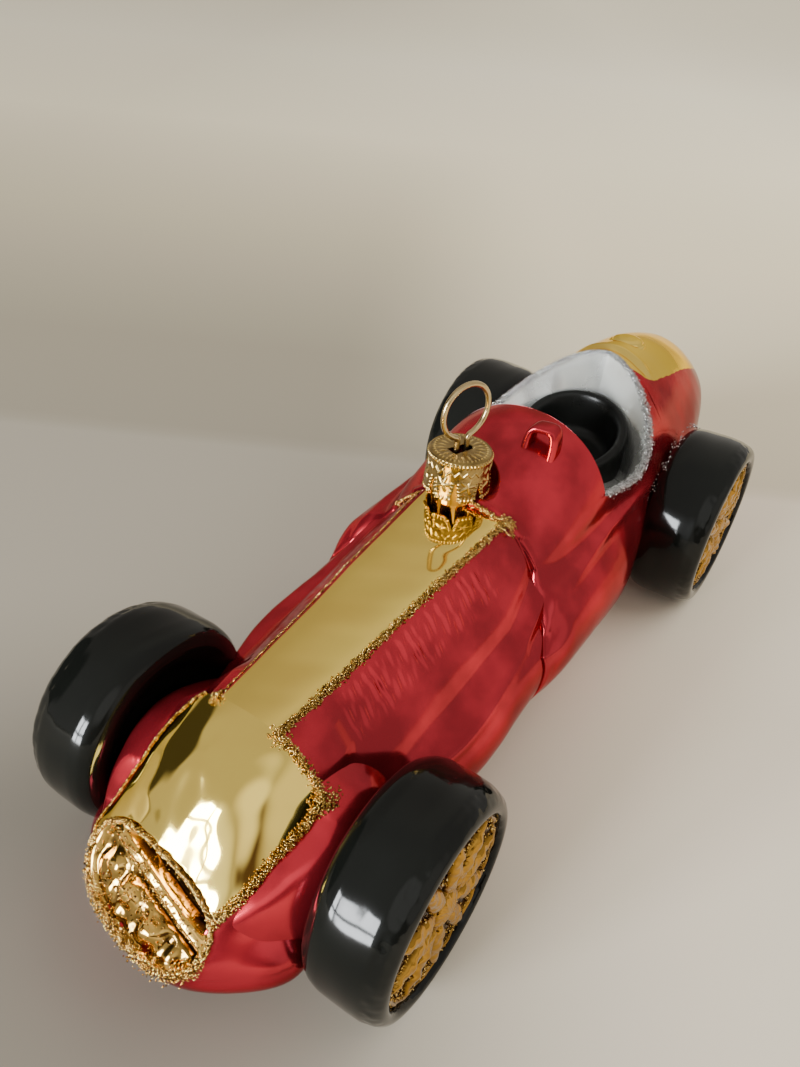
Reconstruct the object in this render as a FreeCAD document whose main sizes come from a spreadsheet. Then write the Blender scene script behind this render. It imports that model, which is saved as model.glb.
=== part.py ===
# Glass racing car ornament: a mouth-blown Christmas-tree bauble in the shape of a vintage open-wheel racer.
# The glass body has its wheels moulded on as lobes; a stamped cap turns on the neck and holds a wire hanger.
import FreeCAD
import Part
import Sketcher
import math
import os
import re
from FreeCAD import Placement, Rotation, Vector

doc = FreeCAD.newDocument("glass_racing_car")
sheet = doc.addObject("Spreadsheet::Sheet", "Sizes")

# Driving sizes in millimetres; the frame is +X to the nose, +Y to the car's left, the floor at zero
sizes = [
    # whole car
    ("overall_length", 180.0),
    ("nose_overhang_share", 0.14444),
    ("wheelbase_share", 0.56889),
    ("hull_half_width", 20.0),
    ("hull_height", 45.0),
    ("cowl_joint_share", 0.01944),
    ("bonnet_rear_share", 0.26111),
    ("overrun", 5.0),
    # front tyre lobes
    ("front_tyre_radius", 15.5),
    ("front_tyre_width", 10.9),
    ("front_tyre_inner_share", 0.9),
    ("front_disc_share", 0.8129),
    # rear tyre lobes
    ("rear_tyre_radius", 17.3),
    ("rear_tyre_width", 12.2),
    ("rear_tyre_inner_share", 0.915),
    ("rear_disc_share", 0.79769),
    # shared by all four wheels
    ("tyre_shoulder", 2.2),
    ("tyre_crown", 0.7),
    ("disc_recess", 1.2),
    ("disc_thickness", 1.4),
    ("petal_height", 0.8),
    ("petal_width", 3.0),
    ("petal_rim_gap", 1.4),
    ("hub_radius", 3.0),
    ("hub_height", 1.3),
    ("stub_radius", 8.6),
    ("stub_root_share", 0.55),
    # the body's swelling over the front axle, from the flank out to the tyre
    ("fairing_lead_share", 0.01389),
    ("fairing_half_length_share", 0.11111),
    ("fairing_half_width_share", 0.94),
    ("fairing_half_height_share", 0.33333),
    ("fairing_middle_share", 0.27778),
    ("fairing_floor_share", 0.11111),
    # gold cowl and the grille in its mouth
    ("cowl_line_rear_share", 0.59111),
    ("cowl_line_middle_share", 0.43556),
    ("cowl_line_front_share", 0.32444),
    ("cowl_line_middle_reach_share", 0.05),
    ("mouth_reach_share", 0.09556),
    ("mouth_height_share", 0.38667),
    ("mouth_length", 8.6),
    ("mouth_half_width_share", 0.43),
    ("mouth_depth", 1.3),
    ("grille_rib_width", 1.1),
    ("grille_rib_pitch", 2.3),
    ("ridge_bar_width", 1.3),
    ("boss_radius", 2.1),
    # bonnet strip and louvres
    ("strip_front_half_width_share", 0.23),
    ("strip_rear_half_width_share", 0.355),
    ("strip_thickness", 1.4),
    ("strip_front_height_share", 0.72667),
    ("strip_rear_height_share", 0.83111),
    ("louvre_pitch_share", 0.02389),
    ("louvre_width_share", 0.01167),
    ("louvre_rise", 0.5),
    ("louvre_half_top_share", 0.37),
    ("louvre_half_bottom_share", 0.61),
    ("louvre_start_share", 0.03889),
    ("louvre_bottom_share", 0.55556),
    ("block_length_share", 0.03889),
    ("block_rise", 1.0),
    ("block_half_top_share", 0.32),
    ("block_half_bottom_share", 0.53),
    ("block_bottom_share", 0.58889),
    # scoop on the scuttle
    ("scoop_offset", 5.2),
    ("scoop_width", 6.2),
    ("scoop_length", 4.2),
    ("scoop_top_share", 1.07333),
    ("scoop_height", 7.4),
    ("scoop_wall", 1.1),
    ("scoop_setback_share", 0.06444),
    # cockpit and seat
    ("cockpit_front_share", 0.11889),
    ("cockpit_length_share", 0.19444),
    ("cockpit_half_width_share", 0.765),
    ("cockpit_floor_share", 0.56444),
    ("tub_wall", 1.2),
    ("seat_radius_share", 0.31143),
    ("seat_setback_share", 0.22667),
    ("bolster_width", 2.6),
    ("cushion_height", 2.6),
    ("seat_front_rise", 1.2),
    ("seat_back_top_share", 0.85333),
    # tail
    ("tail_panel_front_half_width_share", 0.4),
    ("tail_panel_rear_half_width_share", 0.45),
    ("tail_panel_start_share", 0.32),
    ("tail_panel_thickness", 1.6),
    ("filler_radius", 3.2),
    ("filler_height", 2.8),
    ("filler_seat_share", 0.96444),
    ("filler_setback_share", 0.35222),
    ("filler_band", 1),
    # neck, stamped cap and hanger
    ("neck_setback_share", 0.27111),
    ("neck_offset", 3.0),
    ("cap_gap", 0.6),
    ("neck_wall", 0.8),
    ("neck_drop", 1.1),
    ("neck_depth", 13.0),
    ("neck_seat_depth", 12.0),
    ("cap_radius", 5.0),
    ("cap_wall", 0.4),
    ("cap_top_share", 1.01556),
    ("cap_height", 6.9),
    ("cap_bead", 0.35),
    ("slot_share", 0.72),
    ("slot_width", 1.6),
    ("slit_mouth_width", 1.3),
    ("slit_end_width", 0.3),
    ("slit_depth", 3.0),
    ("wire_diameter", 0.9),
    ("ring_radius", 4.4),
    ("ring_gap", 1.3),
    ("leg_half_gap", 1.0),
    ("leg_bend_radius", 0.9),
    ("leg_straight_drop", 4.5),
    ("leg_tip_share", 0.47),
    ("leg_tip_drop", 11.7),
]
for row, (alias, value) in enumerate(sizes, start=1):
    sheet.set("A%d" % row, alias)
    sheet.set("B%d" % row, str(value))
    sheet.setAlias("B%d" % row, alias)
doc.recompute()
names = {alias for alias, value in sizes}
ring_turn = 19.0
mouth_tilt = 40.0
petal_count = 10
slit_count = 8
louvre_count = 8
rib_count = 7

# Sizes that follow others: places along the car follow its length, heights follow the hull's height, places
# across follow its half-width, and the neck and wire follow the cap
followers = {
    "nose_overhang": "overall_length * nose_overhang_share",
    "wheelbase": "overall_length * wheelbase_share",
    "cowl_joint": "overall_length * cowl_joint_share",
    "bonnet_rear": "overall_length * bonnet_rear_share",
    "cowl_line_middle_reach": "overall_length * cowl_line_middle_reach_share",
    "mouth_reach": "overall_length * mouth_reach_share",
    "louvre_start": "overall_length * louvre_start_share",
    "louvre_pitch": "overall_length * louvre_pitch_share",
    "louvre_width": "overall_length * louvre_width_share",
    "block_length": "overall_length * block_length_share",
    "scoop_setback": "overall_length * scoop_setback_share",
    "cockpit_front": "overall_length * cockpit_front_share",
    "cockpit_length": "overall_length * cockpit_length_share",
    "seat_setback": "overall_length * seat_setback_share",
    "tail_panel_start": "overall_length * tail_panel_start_share",
    "filler_setback": "overall_length * filler_setback_share",
    "neck_setback": "overall_length * neck_setback_share",
    "cowl_line_rear": "hull_height * cowl_line_rear_share",
    "cowl_line_middle": "hull_height * cowl_line_middle_share",
    "cowl_line_front": "hull_height * cowl_line_front_share",
    "mouth_height": "hull_height * mouth_height_share",
    "strip_front_height": "hull_height * strip_front_height_share",
    "strip_rear_height": "hull_height * strip_rear_height_share",
    "louvre_bottom": "hull_height * louvre_bottom_share",
    "block_bottom": "hull_height * block_bottom_share",
    "scoop_top": "hull_height * scoop_top_share",
    "cockpit_floor": "hull_height * cockpit_floor_share",
    "seat_back_top": "hull_height * seat_back_top_share",
    "filler_seat": "hull_height * filler_seat_share",
    "cap_top": "hull_height * cap_top_share",
    "mouth_half_width": "hull_half_width * mouth_half_width_share",
    "strip_front_half_width": "hull_half_width * strip_front_half_width_share",
    "strip_rear_half_width": "hull_half_width * strip_rear_half_width_share",
    "louvre_half_top": "hull_half_width * louvre_half_top_share",
    "louvre_half_bottom": "hull_half_width * louvre_half_bottom_share",
    "block_half_top": "hull_half_width * block_half_top_share",
    "block_half_bottom": "hull_half_width * block_half_bottom_share",
    "cockpit_half_width": "hull_half_width * cockpit_half_width_share",
    "tail_panel_front_half_width": "hull_half_width * tail_panel_front_half_width_share",
    "tail_panel_rear_half_width": "hull_half_width * tail_panel_rear_half_width_share",
    "stub_root": "hull_half_width * stub_root_share",
    "fairing_lead": "overall_length * fairing_lead_share",
    "fairing_half_length": "overall_length * fairing_half_length_share",
    "fairing_half_width": "hull_half_width * fairing_half_width_share",
    "fairing_half_height": "hull_height * fairing_half_height_share",
    "fairing_middle": "hull_height * fairing_middle_share",
    "fairing_floor": "hull_height * fairing_floor_share",
    "front_tyre_face": "hull_half_width * front_tyre_inner_share + front_tyre_width",
    "front_disc_radius": "front_tyre_radius * front_disc_share",
    "rear_tyre_face": "hull_half_width * rear_tyre_inner_share + rear_tyre_width",
    "rear_disc_radius": "rear_tyre_radius * rear_disc_share",
    "seat_radius": "cockpit_length * seat_radius_share",
    "neck_radius": "cap_radius - cap_wall - cap_gap",
    "neck_bore": "neck_radius - neck_wall",
    "neck_top": "cap_top - neck_drop",
    "slot_length": "cap_radius * slot_share",
    "ring_top": "cap_top + ring_gap + 2 * ring_radius + wire_diameter",
    "leg_straight_end": "cap_top - leg_straight_drop",
    "leg_tip_height": "cap_top - leg_tip_drop",
    "leg_tip_half_gap": "cap_radius * leg_tip_share",
}

# Places along the car, worked out from the sizes
front_axle = "(overall_length / 2 - nose_overhang)"
rear_axle = "(overall_length / 2 - nose_overhang - wheelbase)"
joint = "(overall_length / 2 - nose_overhang + cowl_joint)"
firewall = "(overall_length / 2 - nose_overhang - bonnet_rear)"
neck_place = "(overall_length / 2 - nose_overhang - neck_setback)"


def formula(text):
    def sheet_name(word):
        if word.group() in followers:
            return "(" + formula(followers[word.group()]) + ")"
        return "Sizes." + word.group() if word.group() in names else word.group()
    return re.sub(r"[a-z_]+", sheet_name, text)


def length(text):
    return float(sheet.evalExpression(formula(text)))


def bound(kind, label, links):
    made = doc.addObject(kind, label)
    made.Label = label
    for name, text in links.items():
        made.setExpression(name, formula(text))
    return made


def feature(label, shape):
    made = doc.addObject("Part::Feature", label)
    made.Label = label
    made.Shape = shape
    return made


def joined(kind, label, first, second):
    made = doc.addObject(kind, label)
    made.Label = label
    made.Base = first
    made.Tool = second
    return made


def cut(label, first, second):
    return joined("Part::Cut", label, first, second)


def common(label, first, second):
    return joined("Part::Common", label, first, second)


def fused(label, shapes):
    made = doc.addObject("Part::MultiFuse", label)
    made.Label = label
    made.Shapes = shapes
    return made


def box(label, long, wide, high, x, y, z):
    return bound("Part::Box", label, {
        "Length": long, "Width": wide, "Height": high,
        "Placement.Base.x": x, "Placement.Base.y": y, "Placement.Base.z": z})


def cylinder(label, radius, high, x, y, z):
    return bound("Part::Cylinder", label, {
        "Radius": radius, "Height": high,
        "Placement.Base.x": x, "Placement.Base.y": y, "Placement.Base.z": z})


def outline(body, label, plane, corners):
    # a closed outline of straight runs, each corner held by its two distances from the origin
    sketch = body.newObject("Sketcher::SketchObject", label)
    base = [found for found in body.Origin.OriginFeatures if found.Role == plane][0]
    sketch.AttachmentSupport = [(base, "")]
    sketch.MapMode = "FlatFace"
    places = [Vector(length(across), length(up), 0) for across, up in corners]
    count = len(corners)
    for index in range(count):
        sketch.addGeometry(Part.LineSegment(places[index], places[(index + 1) % count]))
    for index in range(count):
        sketch.addConstraint(Sketcher.Constraint("Coincident", index, 2, (index + 1) % count, 1))
    for index, (across, up) in enumerate(corners):
        for way, text in (("DistanceX", across), ("DistanceY", up)):
            number = sketch.addConstraint(Sketcher.Constraint(way, -1, 1, index, 1, length(text)))
            if text != "0":
                sketch.setExpression("Constraints[%d]" % number, formula(text))
    return sketch


def padded(label, plane, corners, depth, middle):
    # an outline pushed out square to its plane, to both sides where middle is set
    body = doc.addObject("PartDesign::Body", label)
    body.Label = label
    sketch = outline(body, label + "_outline", plane, corners)
    pad = body.newObject("PartDesign::Pad", label + "_pad")
    pad.Profile = sketch
    pad.Midplane = middle
    pad.setExpression("Length", formula(depth))
    return body


def turned(label, corners):
    # a half-profile of radius and height revolved about the piece's own axis
    body = doc.addObject("PartDesign::Body", label)
    body.Label = label
    sketch = outline(body, label + "_profile", "XZ_Plane", corners)
    turn = body.newObject("PartDesign::Revolution", label + "_turn")
    turn.Profile = sketch
    turn.ReferenceAxis = (sketch, ["V_Axis"])
    turn.Angle = 360
    doc.recompute()
    return body


# Half-sections of the blown body, from the top centre down to the belly's centre line: each row is a share
# of the form's length, then points as shares of the hull's half-width and of its height
nose_shares = [
    (0, [(0, 0.749), (0.25, 0.742), (0.425, 0.693), (0.615, 0.6),
        (0.66, 0.467), (0.75, 0.367), (0.83, 0.244), (0.73, 0.08), (0, 0.0933)]),
    (0.2, [(0, 0.709), (0.275, 0.698), (0.475, 0.631), (0.63, 0.502),
        (0.68, 0.411), (0.78, 0.34), (0.86, 0.233), (0.745, 0.08), (0, 0.0933)]),
    (0.4, [(0, 0.622), (0.275, 0.609), (0.5, 0.533), (0.62, 0.431),
        (0.68, 0.369), (0.82, 0.322), (0.93, 0.227), (0.75, 0.0844), (0, 0.0956)]),
    (0.578, [(0, 0.478), (0.275, 0.471), (0.5, 0.436), (0.6, 0.391),
        (0.68, 0.34), (0.79, 0.3), (0.89, 0.218), (0.69, 0.0933), (0, 0.102)]),
    (0.733, [(0, 0.382), (0.26, 0.378), (0.45, 0.36), (0.55, 0.338),
        (0.62, 0.307), (0.69, 0.267), (0.74, 0.213), (0.575, 0.111), (0, 0.111)]),
    (0.876, [(0, 0.324), (0.225, 0.32), (0.38, 0.307), (0.45, 0.289),
        (0.49, 0.267), (0.53, 0.24), (0.53, 0.207), (0.41, 0.133), (0, 0.124)]),
    (0.973, [(0, 0.273), (0.15, 0.271), (0.25, 0.262), (0.3, 0.251),
        (0.32, 0.238), (0.325, 0.222), (0.31, 0.2), (0.24, 0.16), (0, 0.151)]),
    (1, [(0, 0.236), (0.04, 0.236), (0.065, 0.231), (0.08, 0.224),
        (0.085, 0.218), (0.08, 0.211), (0.07, 0.204), (0.045, 0.2), (0, 0.198)]),
]

bonnet_shares = [
    (0, [(0, 0.727), (0.2, 0.727), (0.26, 0.711), (0.41, 0.627), (0.575, 0.533),
        (0.67, 0.458), (0.75, 0.387), (0.83, 0.289), (0.81, 0.167), (0.68, 0.0756), (0, 0.0933)]),
    (0.228, [(0, 0.744), (0.23, 0.74), (0.29, 0.724), (0.45, 0.633), (0.61, 0.547),
        (0.7, 0.484), (0.79, 0.427), (0.855, 0.32), (0.83, 0.178), (0.69, 0.08), (0, 0.0933)]),
    (0.465, [(0, 0.776), (0.27, 0.776), (0.335, 0.76), (0.5, 0.662), (0.65, 0.569),
        (0.74, 0.507), (0.97, 0.476), (1.09, 0.347), (0.99, 0.187), (0.74, 0.0844), (0, 0.0933)]),
    (0.723, [(0, 0.804), (0.315, 0.804), (0.38, 0.787), (0.56, 0.68), (0.72, 0.582),
        (0.81, 0.511), (0.99, 0.48), (1.06, 0.356), (0.96, 0.191), (0.73, 0.0889), (0, 0.0956)]),
    (0.901, [(0, 0.827), (0.34, 0.824), (0.41, 0.804), (0.6, 0.693), (0.79, 0.587),
        (0.9, 0.52), (1.03, 0.467), (1.04, 0.356), (0.93, 0.2), (0.71, 0.0978), (0, 0.1)]),
    (1, [(0, 0.836), (0.35, 0.833), (0.42, 0.811), (0.62, 0.698), (0.83, 0.591),
        (0.95, 0.524), (1.07, 0.467), (1.06, 0.356), (0.93, 0.2), (0.71, 0.102), (0, 0.102)]),
]

rear_shares = [
    (0, [(0, 0.853), (0.25, 0.849), (0.475, 0.787), (0.665, 0.689), (0.83, 0.609),
        (1.02, 0.564), (1.13, 0.476), (1.1, 0.342), (0.94, 0.191), (0.72, 0.102), (0, 0.102)]),
    (0.028, [(0, 0.876), (0.25, 0.871), (0.49, 0.818), (0.68, 0.722), (0.83, 0.627),
        (1.03, 0.578), (1.15, 0.484), (1.11, 0.342), (0.94, 0.191), (0.72, 0.102), (0, 0.102)]),
    (0.0748, [(0, 0.929), (0.26, 0.92), (0.52, 0.862), (0.7, 0.764), (0.81, 0.653),
        (1, 0.587), (1.16, 0.489), (1.12, 0.342), (0.94, 0.191), (0.72, 0.102), (0, 0.102)]),
    (0.15, [(0, 1.04), (0.29, 1.03), (0.58, 0.938), (0.75, 0.8), (0.82, 0.662),
        (0.98, 0.587), (1.16, 0.493), (1.13, 0.347), (0.94, 0.191), (0.72, 0.102), (0, 0.102)]),
    (0.243, [(0, 1.01), (0.3, 0.991), (0.6, 0.911), (0.79, 0.787), (0.84, 0.662),
        (0.96, 0.582), (1.13, 0.489), (1.12, 0.347), (0.94, 0.191), (0.72, 0.107), (0, 0.107)]),
    (0.346, [(0, 1), (0.3, 0.978), (0.58, 0.898), (0.79, 0.778), (0.85, 0.658),
        (0.915, 0.564), (0.97, 0.467), (0.96, 0.347), (0.88, 0.2), (0.68, 0.111), (0, 0.111)]),
    (0.449, [(0, 1.02), (0.28, 0.991), (0.54, 0.902), (0.77, 0.769), (0.84, 0.644),
        (0.88, 0.547), (0.9, 0.444), (0.89, 0.342), (0.8, 0.213), (0.62, 0.12), (0, 0.116)]),
    (0.551, [(0, 1.04), (0.25, 1), (0.49, 0.902), (0.71, 0.756), (0.81, 0.631),
        (0.85, 0.533), (0.86, 0.431), (0.84, 0.333), (0.75, 0.218), (0.58, 0.133), (0, 0.124)]),
    (0.664, [(0, 1), (0.25, 0.964), (0.49, 0.876), (0.69, 0.742), (0.78, 0.622),
        (0.82, 0.524), (0.82, 0.427), (0.79, 0.333), (0.7, 0.231), (0.54, 0.156), (0, 0.142)]),
    (0.776, [(0, 0.924), (0.24, 0.893), (0.46, 0.818), (0.63, 0.707), (0.71, 0.604),
        (0.74, 0.516), (0.73, 0.427), (0.69, 0.347), (0.61, 0.258), (0.46, 0.191), (0, 0.173)]),
    (0.879, [(0, 0.809), (0.2, 0.787), (0.38, 0.729), (0.51, 0.649), (0.58, 0.578),
        (0.605, 0.507), (0.595, 0.436), (0.555, 0.369), (0.48, 0.298), (0.36, 0.244), (0, 0.222)]),
    (0.958, [(0, 0.676), (0.14, 0.664), (0.26, 0.627), (0.35, 0.578), (0.39, 0.533),
        (0.4, 0.487), (0.39, 0.438), (0.36, 0.391), (0.305, 0.344), (0.22, 0.309), (0, 0.293)]),
    (0.994, [(0, 0.573), (0.08, 0.567), (0.15, 0.547), (0.2, 0.522), (0.215, 0.502),
        (0.22, 0.478), (0.215, 0.451), (0.195, 0.424), (0.16, 0.398), (0.115, 0.378), (0, 0.369)]),
    (1, [(0, 0.502), (0.025, 0.501), (0.045, 0.496), (0.06, 0.488), (0.065, 0.48),
        (0.065, 0.471), (0.0625, 0.462), (0.055, 0.453), (0.0425, 0.447), (0.025, 0.441), (0, 0.44)]),
]


def blown_form(label, rows, start, end):
    # one bicubic skin over a net of half-sections mirrored about the middle, closed by a flat face at each end
    half_width = length("hull_half_width")
    height = length("hull_height")
    start_x = length(start)
    end_x = length(end)
    net = []
    for along, half in rows:
        x = start_x + along * (end_x - start_x)
        left = [Vector(x, half_width * across, height * up) for across, up in half]
        right = [Vector(x, -point.y, point.z) for point in left[-2:0:-1]]
        net.append(left + right)
    stations = len(net)
    around = len(net[0])
    skin = Part.BSplineSurface()
    skin.buildFromPolesMultsKnots(
        net, [4] + [1] * (stations - 4) + [4], [1] * (around + 1),
        list(range(stations - 2)), list(range(around + 1)), False, True, 3, 3)
    side = Part.Face(skin)
    ends = [edge for edge in side.Edges if edge.isClosed() and edge.BoundBox.XLength < edge.BoundBox.YLength / 1000]
    shell = Part.Shell([side] + [Part.Face(Part.Wire([edge])) for edge in ends])
    shell.sewShape()
    solid = Part.Solid(shell)
    if solid.Volume < 0:
        solid.reverse()
    return feature(label, solid)


def shifted(label, form, move):
    return feature(label, form.Shape.translated(move))


nose_form = blown_form("nose_form", nose_shares, joint, "overall_length / 2")
bonnet_form = blown_form("bonnet_form", bonnet_shares, joint, firewall)
rear_form = blown_form("rear_form", rear_shares, firewall, "-overall_length / 2")

# Room for the tyre lobes, which press a little into the flanks
tyre_room = []
for end, axle in (("front", front_axle), ("rear", rear_axle)):
    for hand, side in (("left", 1), ("right", -1)):
        room = cylinder("tyre_room_%s_%s" % (end, hand), end + "_tyre_radius", end + "_tyre_width",
                        axle, "%d * (%s_tyre_face - %s_tyre_width)" % (side, end, end), end + "_tyre_radius")
        room.Placement.Rotation = Rotation(Vector(1, 0, 0), -90 * side)
        tyre_room.append(room)
tyre_spaces = fused("tyre_spaces", tyre_room)

# Nose: the gold cowl sits above a line that falls to the grille, and a ribbed grille is sunk in the mouth
tip = "(overall_length / 2 + overrun)"
above_line = padded("above_line", "XZ_Plane", [
    (joint, "cowl_line_rear"),
    ("overall_length / 2 - nose_overhang + cowl_line_middle_reach", "cowl_line_middle"),
    ("overall_length / 2 - nose_overhang + mouth_reach", "cowl_line_front"),
    (tip, "cowl_line_front"), (tip, "overall_length"), (joint, "overall_length")], "overall_length", True)
mouth = box("mouth", "mouth_length", "2 * mouth_half_width", "2 * mouth_length",
            "overall_length / 2 - nose_overhang + mouth_reach", "-mouth_half_width", "mouth_height")
mouth.Placement.Rotation = Rotation(Vector(0, 1, 0), mouth_tilt)
inward = Vector(-math.sin(math.radians(mouth_tilt)), 0, -math.cos(math.radians(mouth_tilt)))
mouth.setExpression("Placement.Base.x", formula(
    "overall_length / 2 - nose_overhang + mouth_reach - mouth_length * sin(%g)" % mouth_tilt))
mouth.setExpression("Placement.Base.z", formula("mouth_height - mouth_length * cos(%g)" % mouth_tilt))
nose_sunk = shifted("nose_sunk", nose_form, inward * length("mouth_depth"))
mouth_glass = common("mouth_glass", nose_form, mouth)
grille_floor = common("grille_floor", mouth_glass, nose_sunk)
ribs = []
for index in range(rib_count):
    ribs.append(box("grille_rib_%d" % index, "nose_overhang", "grille_rib_width", "hull_height",
                    front_axle, "(%g) * grille_rib_pitch - grille_rib_width / 2" % (index - (rib_count - 1) / 2),
                    "0"))
ridge = box("ridge_bar", "ridge_bar_width", "2 * mouth_half_width", "2 * mouth_length",
            front_axle, "-mouth_half_width", "0")
ridge.Placement.Rotation = Rotation(Vector(0, 1, 0), mouth_tilt)
ridge.setExpression("Placement.Base.x", formula(
    "overall_length / 2 - nose_overhang + mouth_reach + ridge_bar_width * 0.75 - mouth_length * sin(%g)"
    % mouth_tilt))
ridge.setExpression("Placement.Base.z", formula(
    "mouth_height - ridge_bar_width * 0.65 - mouth_length * cos(%g)" % mouth_tilt))
boss = cylinder("boss", "boss_radius", "2 * mouth_length",
                "overall_length / 2 - nose_overhang + mouth_reach - mouth_length * sin(%g)"
                " + mouth_length / 2 * cos(%g)" % (mouth_tilt, mouth_tilt), "0",
                "mouth_height - mouth_length * cos(%g) - mouth_length / 2 * sin(%g)" % (mouth_tilt, mouth_tilt))
boss.Placement.Rotation = Rotation(Vector(0, 1, 0), mouth_tilt)
grille_relief = common("grille_relief", mouth_glass, fused("grille_comb", ribs + [ridge, boss]))
grille_node = fused("grille", [grille_floor, grille_relief])
nose_solid = cut("nose_solid", nose_form, mouth)
nose_cowl = common("nose_cowl", nose_solid, above_line)
nose_pan = cut("nose_pan", nose_solid, above_line)

# Neck and its bore, where the legs of the hanger spread, and the space under the cap
neck_base = "(neck_top - neck_seat_depth)"
neck_outer = cylinder("neck_outer", "neck_radius", "neck_seat_depth", neck_place, "-neck_offset", neck_base)
bore = cylinder("neck_bore_cut", "neck_bore", "neck_depth", neck_place, "-neck_offset",
                "neck_top - neck_depth")
collar = cylinder("neck_seat_cut", "neck_radius", "overall_length", neck_place, "-neck_offset", neck_base)
under_cap = cylinder("under_cap", "cap_radius + cap_bead + cap_wall", "overall_length", neck_place,
                     "-neck_offset", "cap_top - cap_height - cap_wall")
neck = cut("neck", neck_outer, bore)
neck_space = fused("neck_space", [bore, collar, under_cap])

# Bonnet: a gold strip let into the red glass along its top, louvre ribs and a block beside the cowl
strip_plan = padded("strip_plan", "XY_Plane", [
    (joint, "-strip_front_half_width"), (joint, "strip_front_half_width"),
    (firewall, "strip_rear_half_width"), (firewall, "-strip_rear_half_width")], "overall_length", False)
strip_bed = padded("strip_bed", "XZ_Plane", [
    (joint, "strip_front_height - strip_thickness"), (joint, "overall_length"),
    (firewall, "overall_length"), (firewall, "strip_rear_height - strip_thickness")], "overall_length", True)
strip_space = common("strip_space", strip_plan, strip_bed)
strip_full = common("strip_full", bonnet_form, strip_space)
strip = cut("bonnet_strip", strip_full, neck_space)
for hand, side in (("left", 1), ("right", -1)):
    near = "louvre_half_top" if side > 0 else "-louvre_half_bottom"
    comb = []
    for index in range(louvre_count):
        place = "%s - louvre_start - %d * louvre_pitch - louvre_width" % (joint, index)
        comb.append(box("louvre_%s_%d" % (hand, index), "louvre_width", "louvre_half_bottom - louvre_half_top",
                        "hull_height - louvre_bottom", place, near, "louvre_bottom"))
    raised = shifted("raised_%s" % hand, bonnet_form, Vector(0, side, 1) * length("louvre_rise"))
    louvres = common("louvres_%s" % hand, raised, fused("louvre_comb_%s" % hand, comb))
    near = "block_half_top" if side > 0 else "-block_half_bottom"
    block = box("block_%s" % hand, "block_length", "block_half_bottom - block_half_top",
                "hull_height - block_bottom", "%s - block_length" % joint, near, "block_bottom")
    lifted = shifted("lifted_%s" % hand, bonnet_form, Vector(0, side, 1) * length("block_rise"))
    block_glass = common("block_glass_%s" % hand, lifted, block)
    if side > 0:
        left_relief = [louvres, block_glass]
    else:
        right_relief = [louvres, block_glass]
bonnet_red = cut("bonnet_red", bonnet_form, strip_space)
bonnet_full = fused("bonnet_full", [bonnet_red] + left_relief + right_relief)
bonnet_clear = cut("bonnet_clear", bonnet_full, neck_space)
bonnet = cut("bonnet", bonnet_clear, tyre_spaces)

# Cockpit: a silvered tub sunk in the glass behind the scuttle, in plan wide at the front and pointed behind
rim_shares = [(0, 1), (0.15, 1.027), (0.3, 1.048), (0.45, 1.05), (0.58, 1.019), (0.7, 0.937), (0.8, 0.801),
              (0.88, 0.616), (0.94, 0.403), (0.98, 0.19), (1, 0)]


def tub(label, grow):
    front_x = length("%s - cockpit_front" % firewall)
    long = length("cockpit_length")
    half = length("cockpit_half_width")
    left = [Vector(front_x - along * long - grow * along, half * across + grow * (across > 0), 0)
            for along, across in rim_shares]
    right = [Vector(point.x, -point.y, 0) for point in left[-2::-1]]
    curve = Part.BSplineCurve()
    curve.interpolate(left + right)
    front = Part.makeLine(right[-1], left[0])
    face = Part.Face(Part.Wire([curve.toShape(), front]))
    face.translate(Vector(grow, 0, length("cockpit_floor") - grow))
    return feature(label, face.extrude(Vector(0, 0, length("hull_height"))))


cavity = tub("cockpit_cavity", 0)
tub_outer = tub("cockpit_outer", length("tub_wall"))
rear_bored = cut("rear_bored", rear_form, neck_space)
tub_glass = common("tub_glass", rear_bored, tub_outer)
cockpit_tub = cut("cockpit_tub", tub_glass, cavity)

# Seat: a black arched back that falls towards the front, hollowed over its cushion
seat_place = "(%s - seat_setback)" % firewall[1:-1]
seat_block = cylinder("seat_block", "seat_radius", "seat_back_top - cockpit_floor", seat_place, "0",
                      "cockpit_floor")
seat_hollow = cylinder("seat_hollow", "seat_radius - bolster_width", "seat_back_top", seat_place, "0",
                       "cockpit_floor + cushion_height")
slope = padded("seat_slope", "XZ_Plane", [
    ("%s - seat_radius - overrun" % seat_place, "seat_back_top"),
    ("%s - seat_radius" % seat_place, "seat_back_top"),
    ("%s + seat_radius" % seat_place, "cockpit_floor + cushion_height + seat_front_rise"),
    ("%s + seat_radius + overrun" % seat_place, "cockpit_floor + cushion_height + seat_front_rise"),
    ("%s + seat_radius + overrun" % seat_place, "overall_length"),
    ("%s - seat_radius - overrun" % seat_place, "overall_length")], "overall_length", True)
seat_sloped = cut("seat_sloped", seat_block, slope)
seat = cut("seat", seat_sloped, seat_hollow)

# Tail: a gold panel let in along its top, and the round filler cap with its band
panel_start = "%s - tail_panel_start" % firewall
tail_end = "(-overall_length / 2 - overrun)"
panel_plan = padded("panel_plan", "XY_Plane", [
    (panel_start, "-tail_panel_front_half_width"), (panel_start, "tail_panel_front_half_width"),
    (tail_end, "tail_panel_rear_half_width"), (tail_end, "-tail_panel_rear_half_width")],
    "overall_length", False)
panel_plan.setExpression("Placement.Base.z", formula("hull_height / 2"))
lowered = shifted("lowered", rear_form, Vector(0, 0, -length("tail_panel_thickness")))
rest = cut("rear_rest", rear_bored, tub_outer)
panel_glass = common("panel_glass", rest, panel_plan)
panel_full = cut("panel_full", panel_glass, lowered)
filler_place = "%s - filler_setback" % firewall
filler_cap = turned("filler_cap", [
    ("0", "0"), ("filler_radius + filler_band / 2", "0"),
    ("filler_radius + filler_band / 2", "filler_height - filler_band"),
    ("filler_radius", "filler_height - filler_band"), ("filler_radius", "filler_height - filler_band / 2"),
    ("filler_radius / 2", "filler_height"), ("0", "filler_height")])
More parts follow.
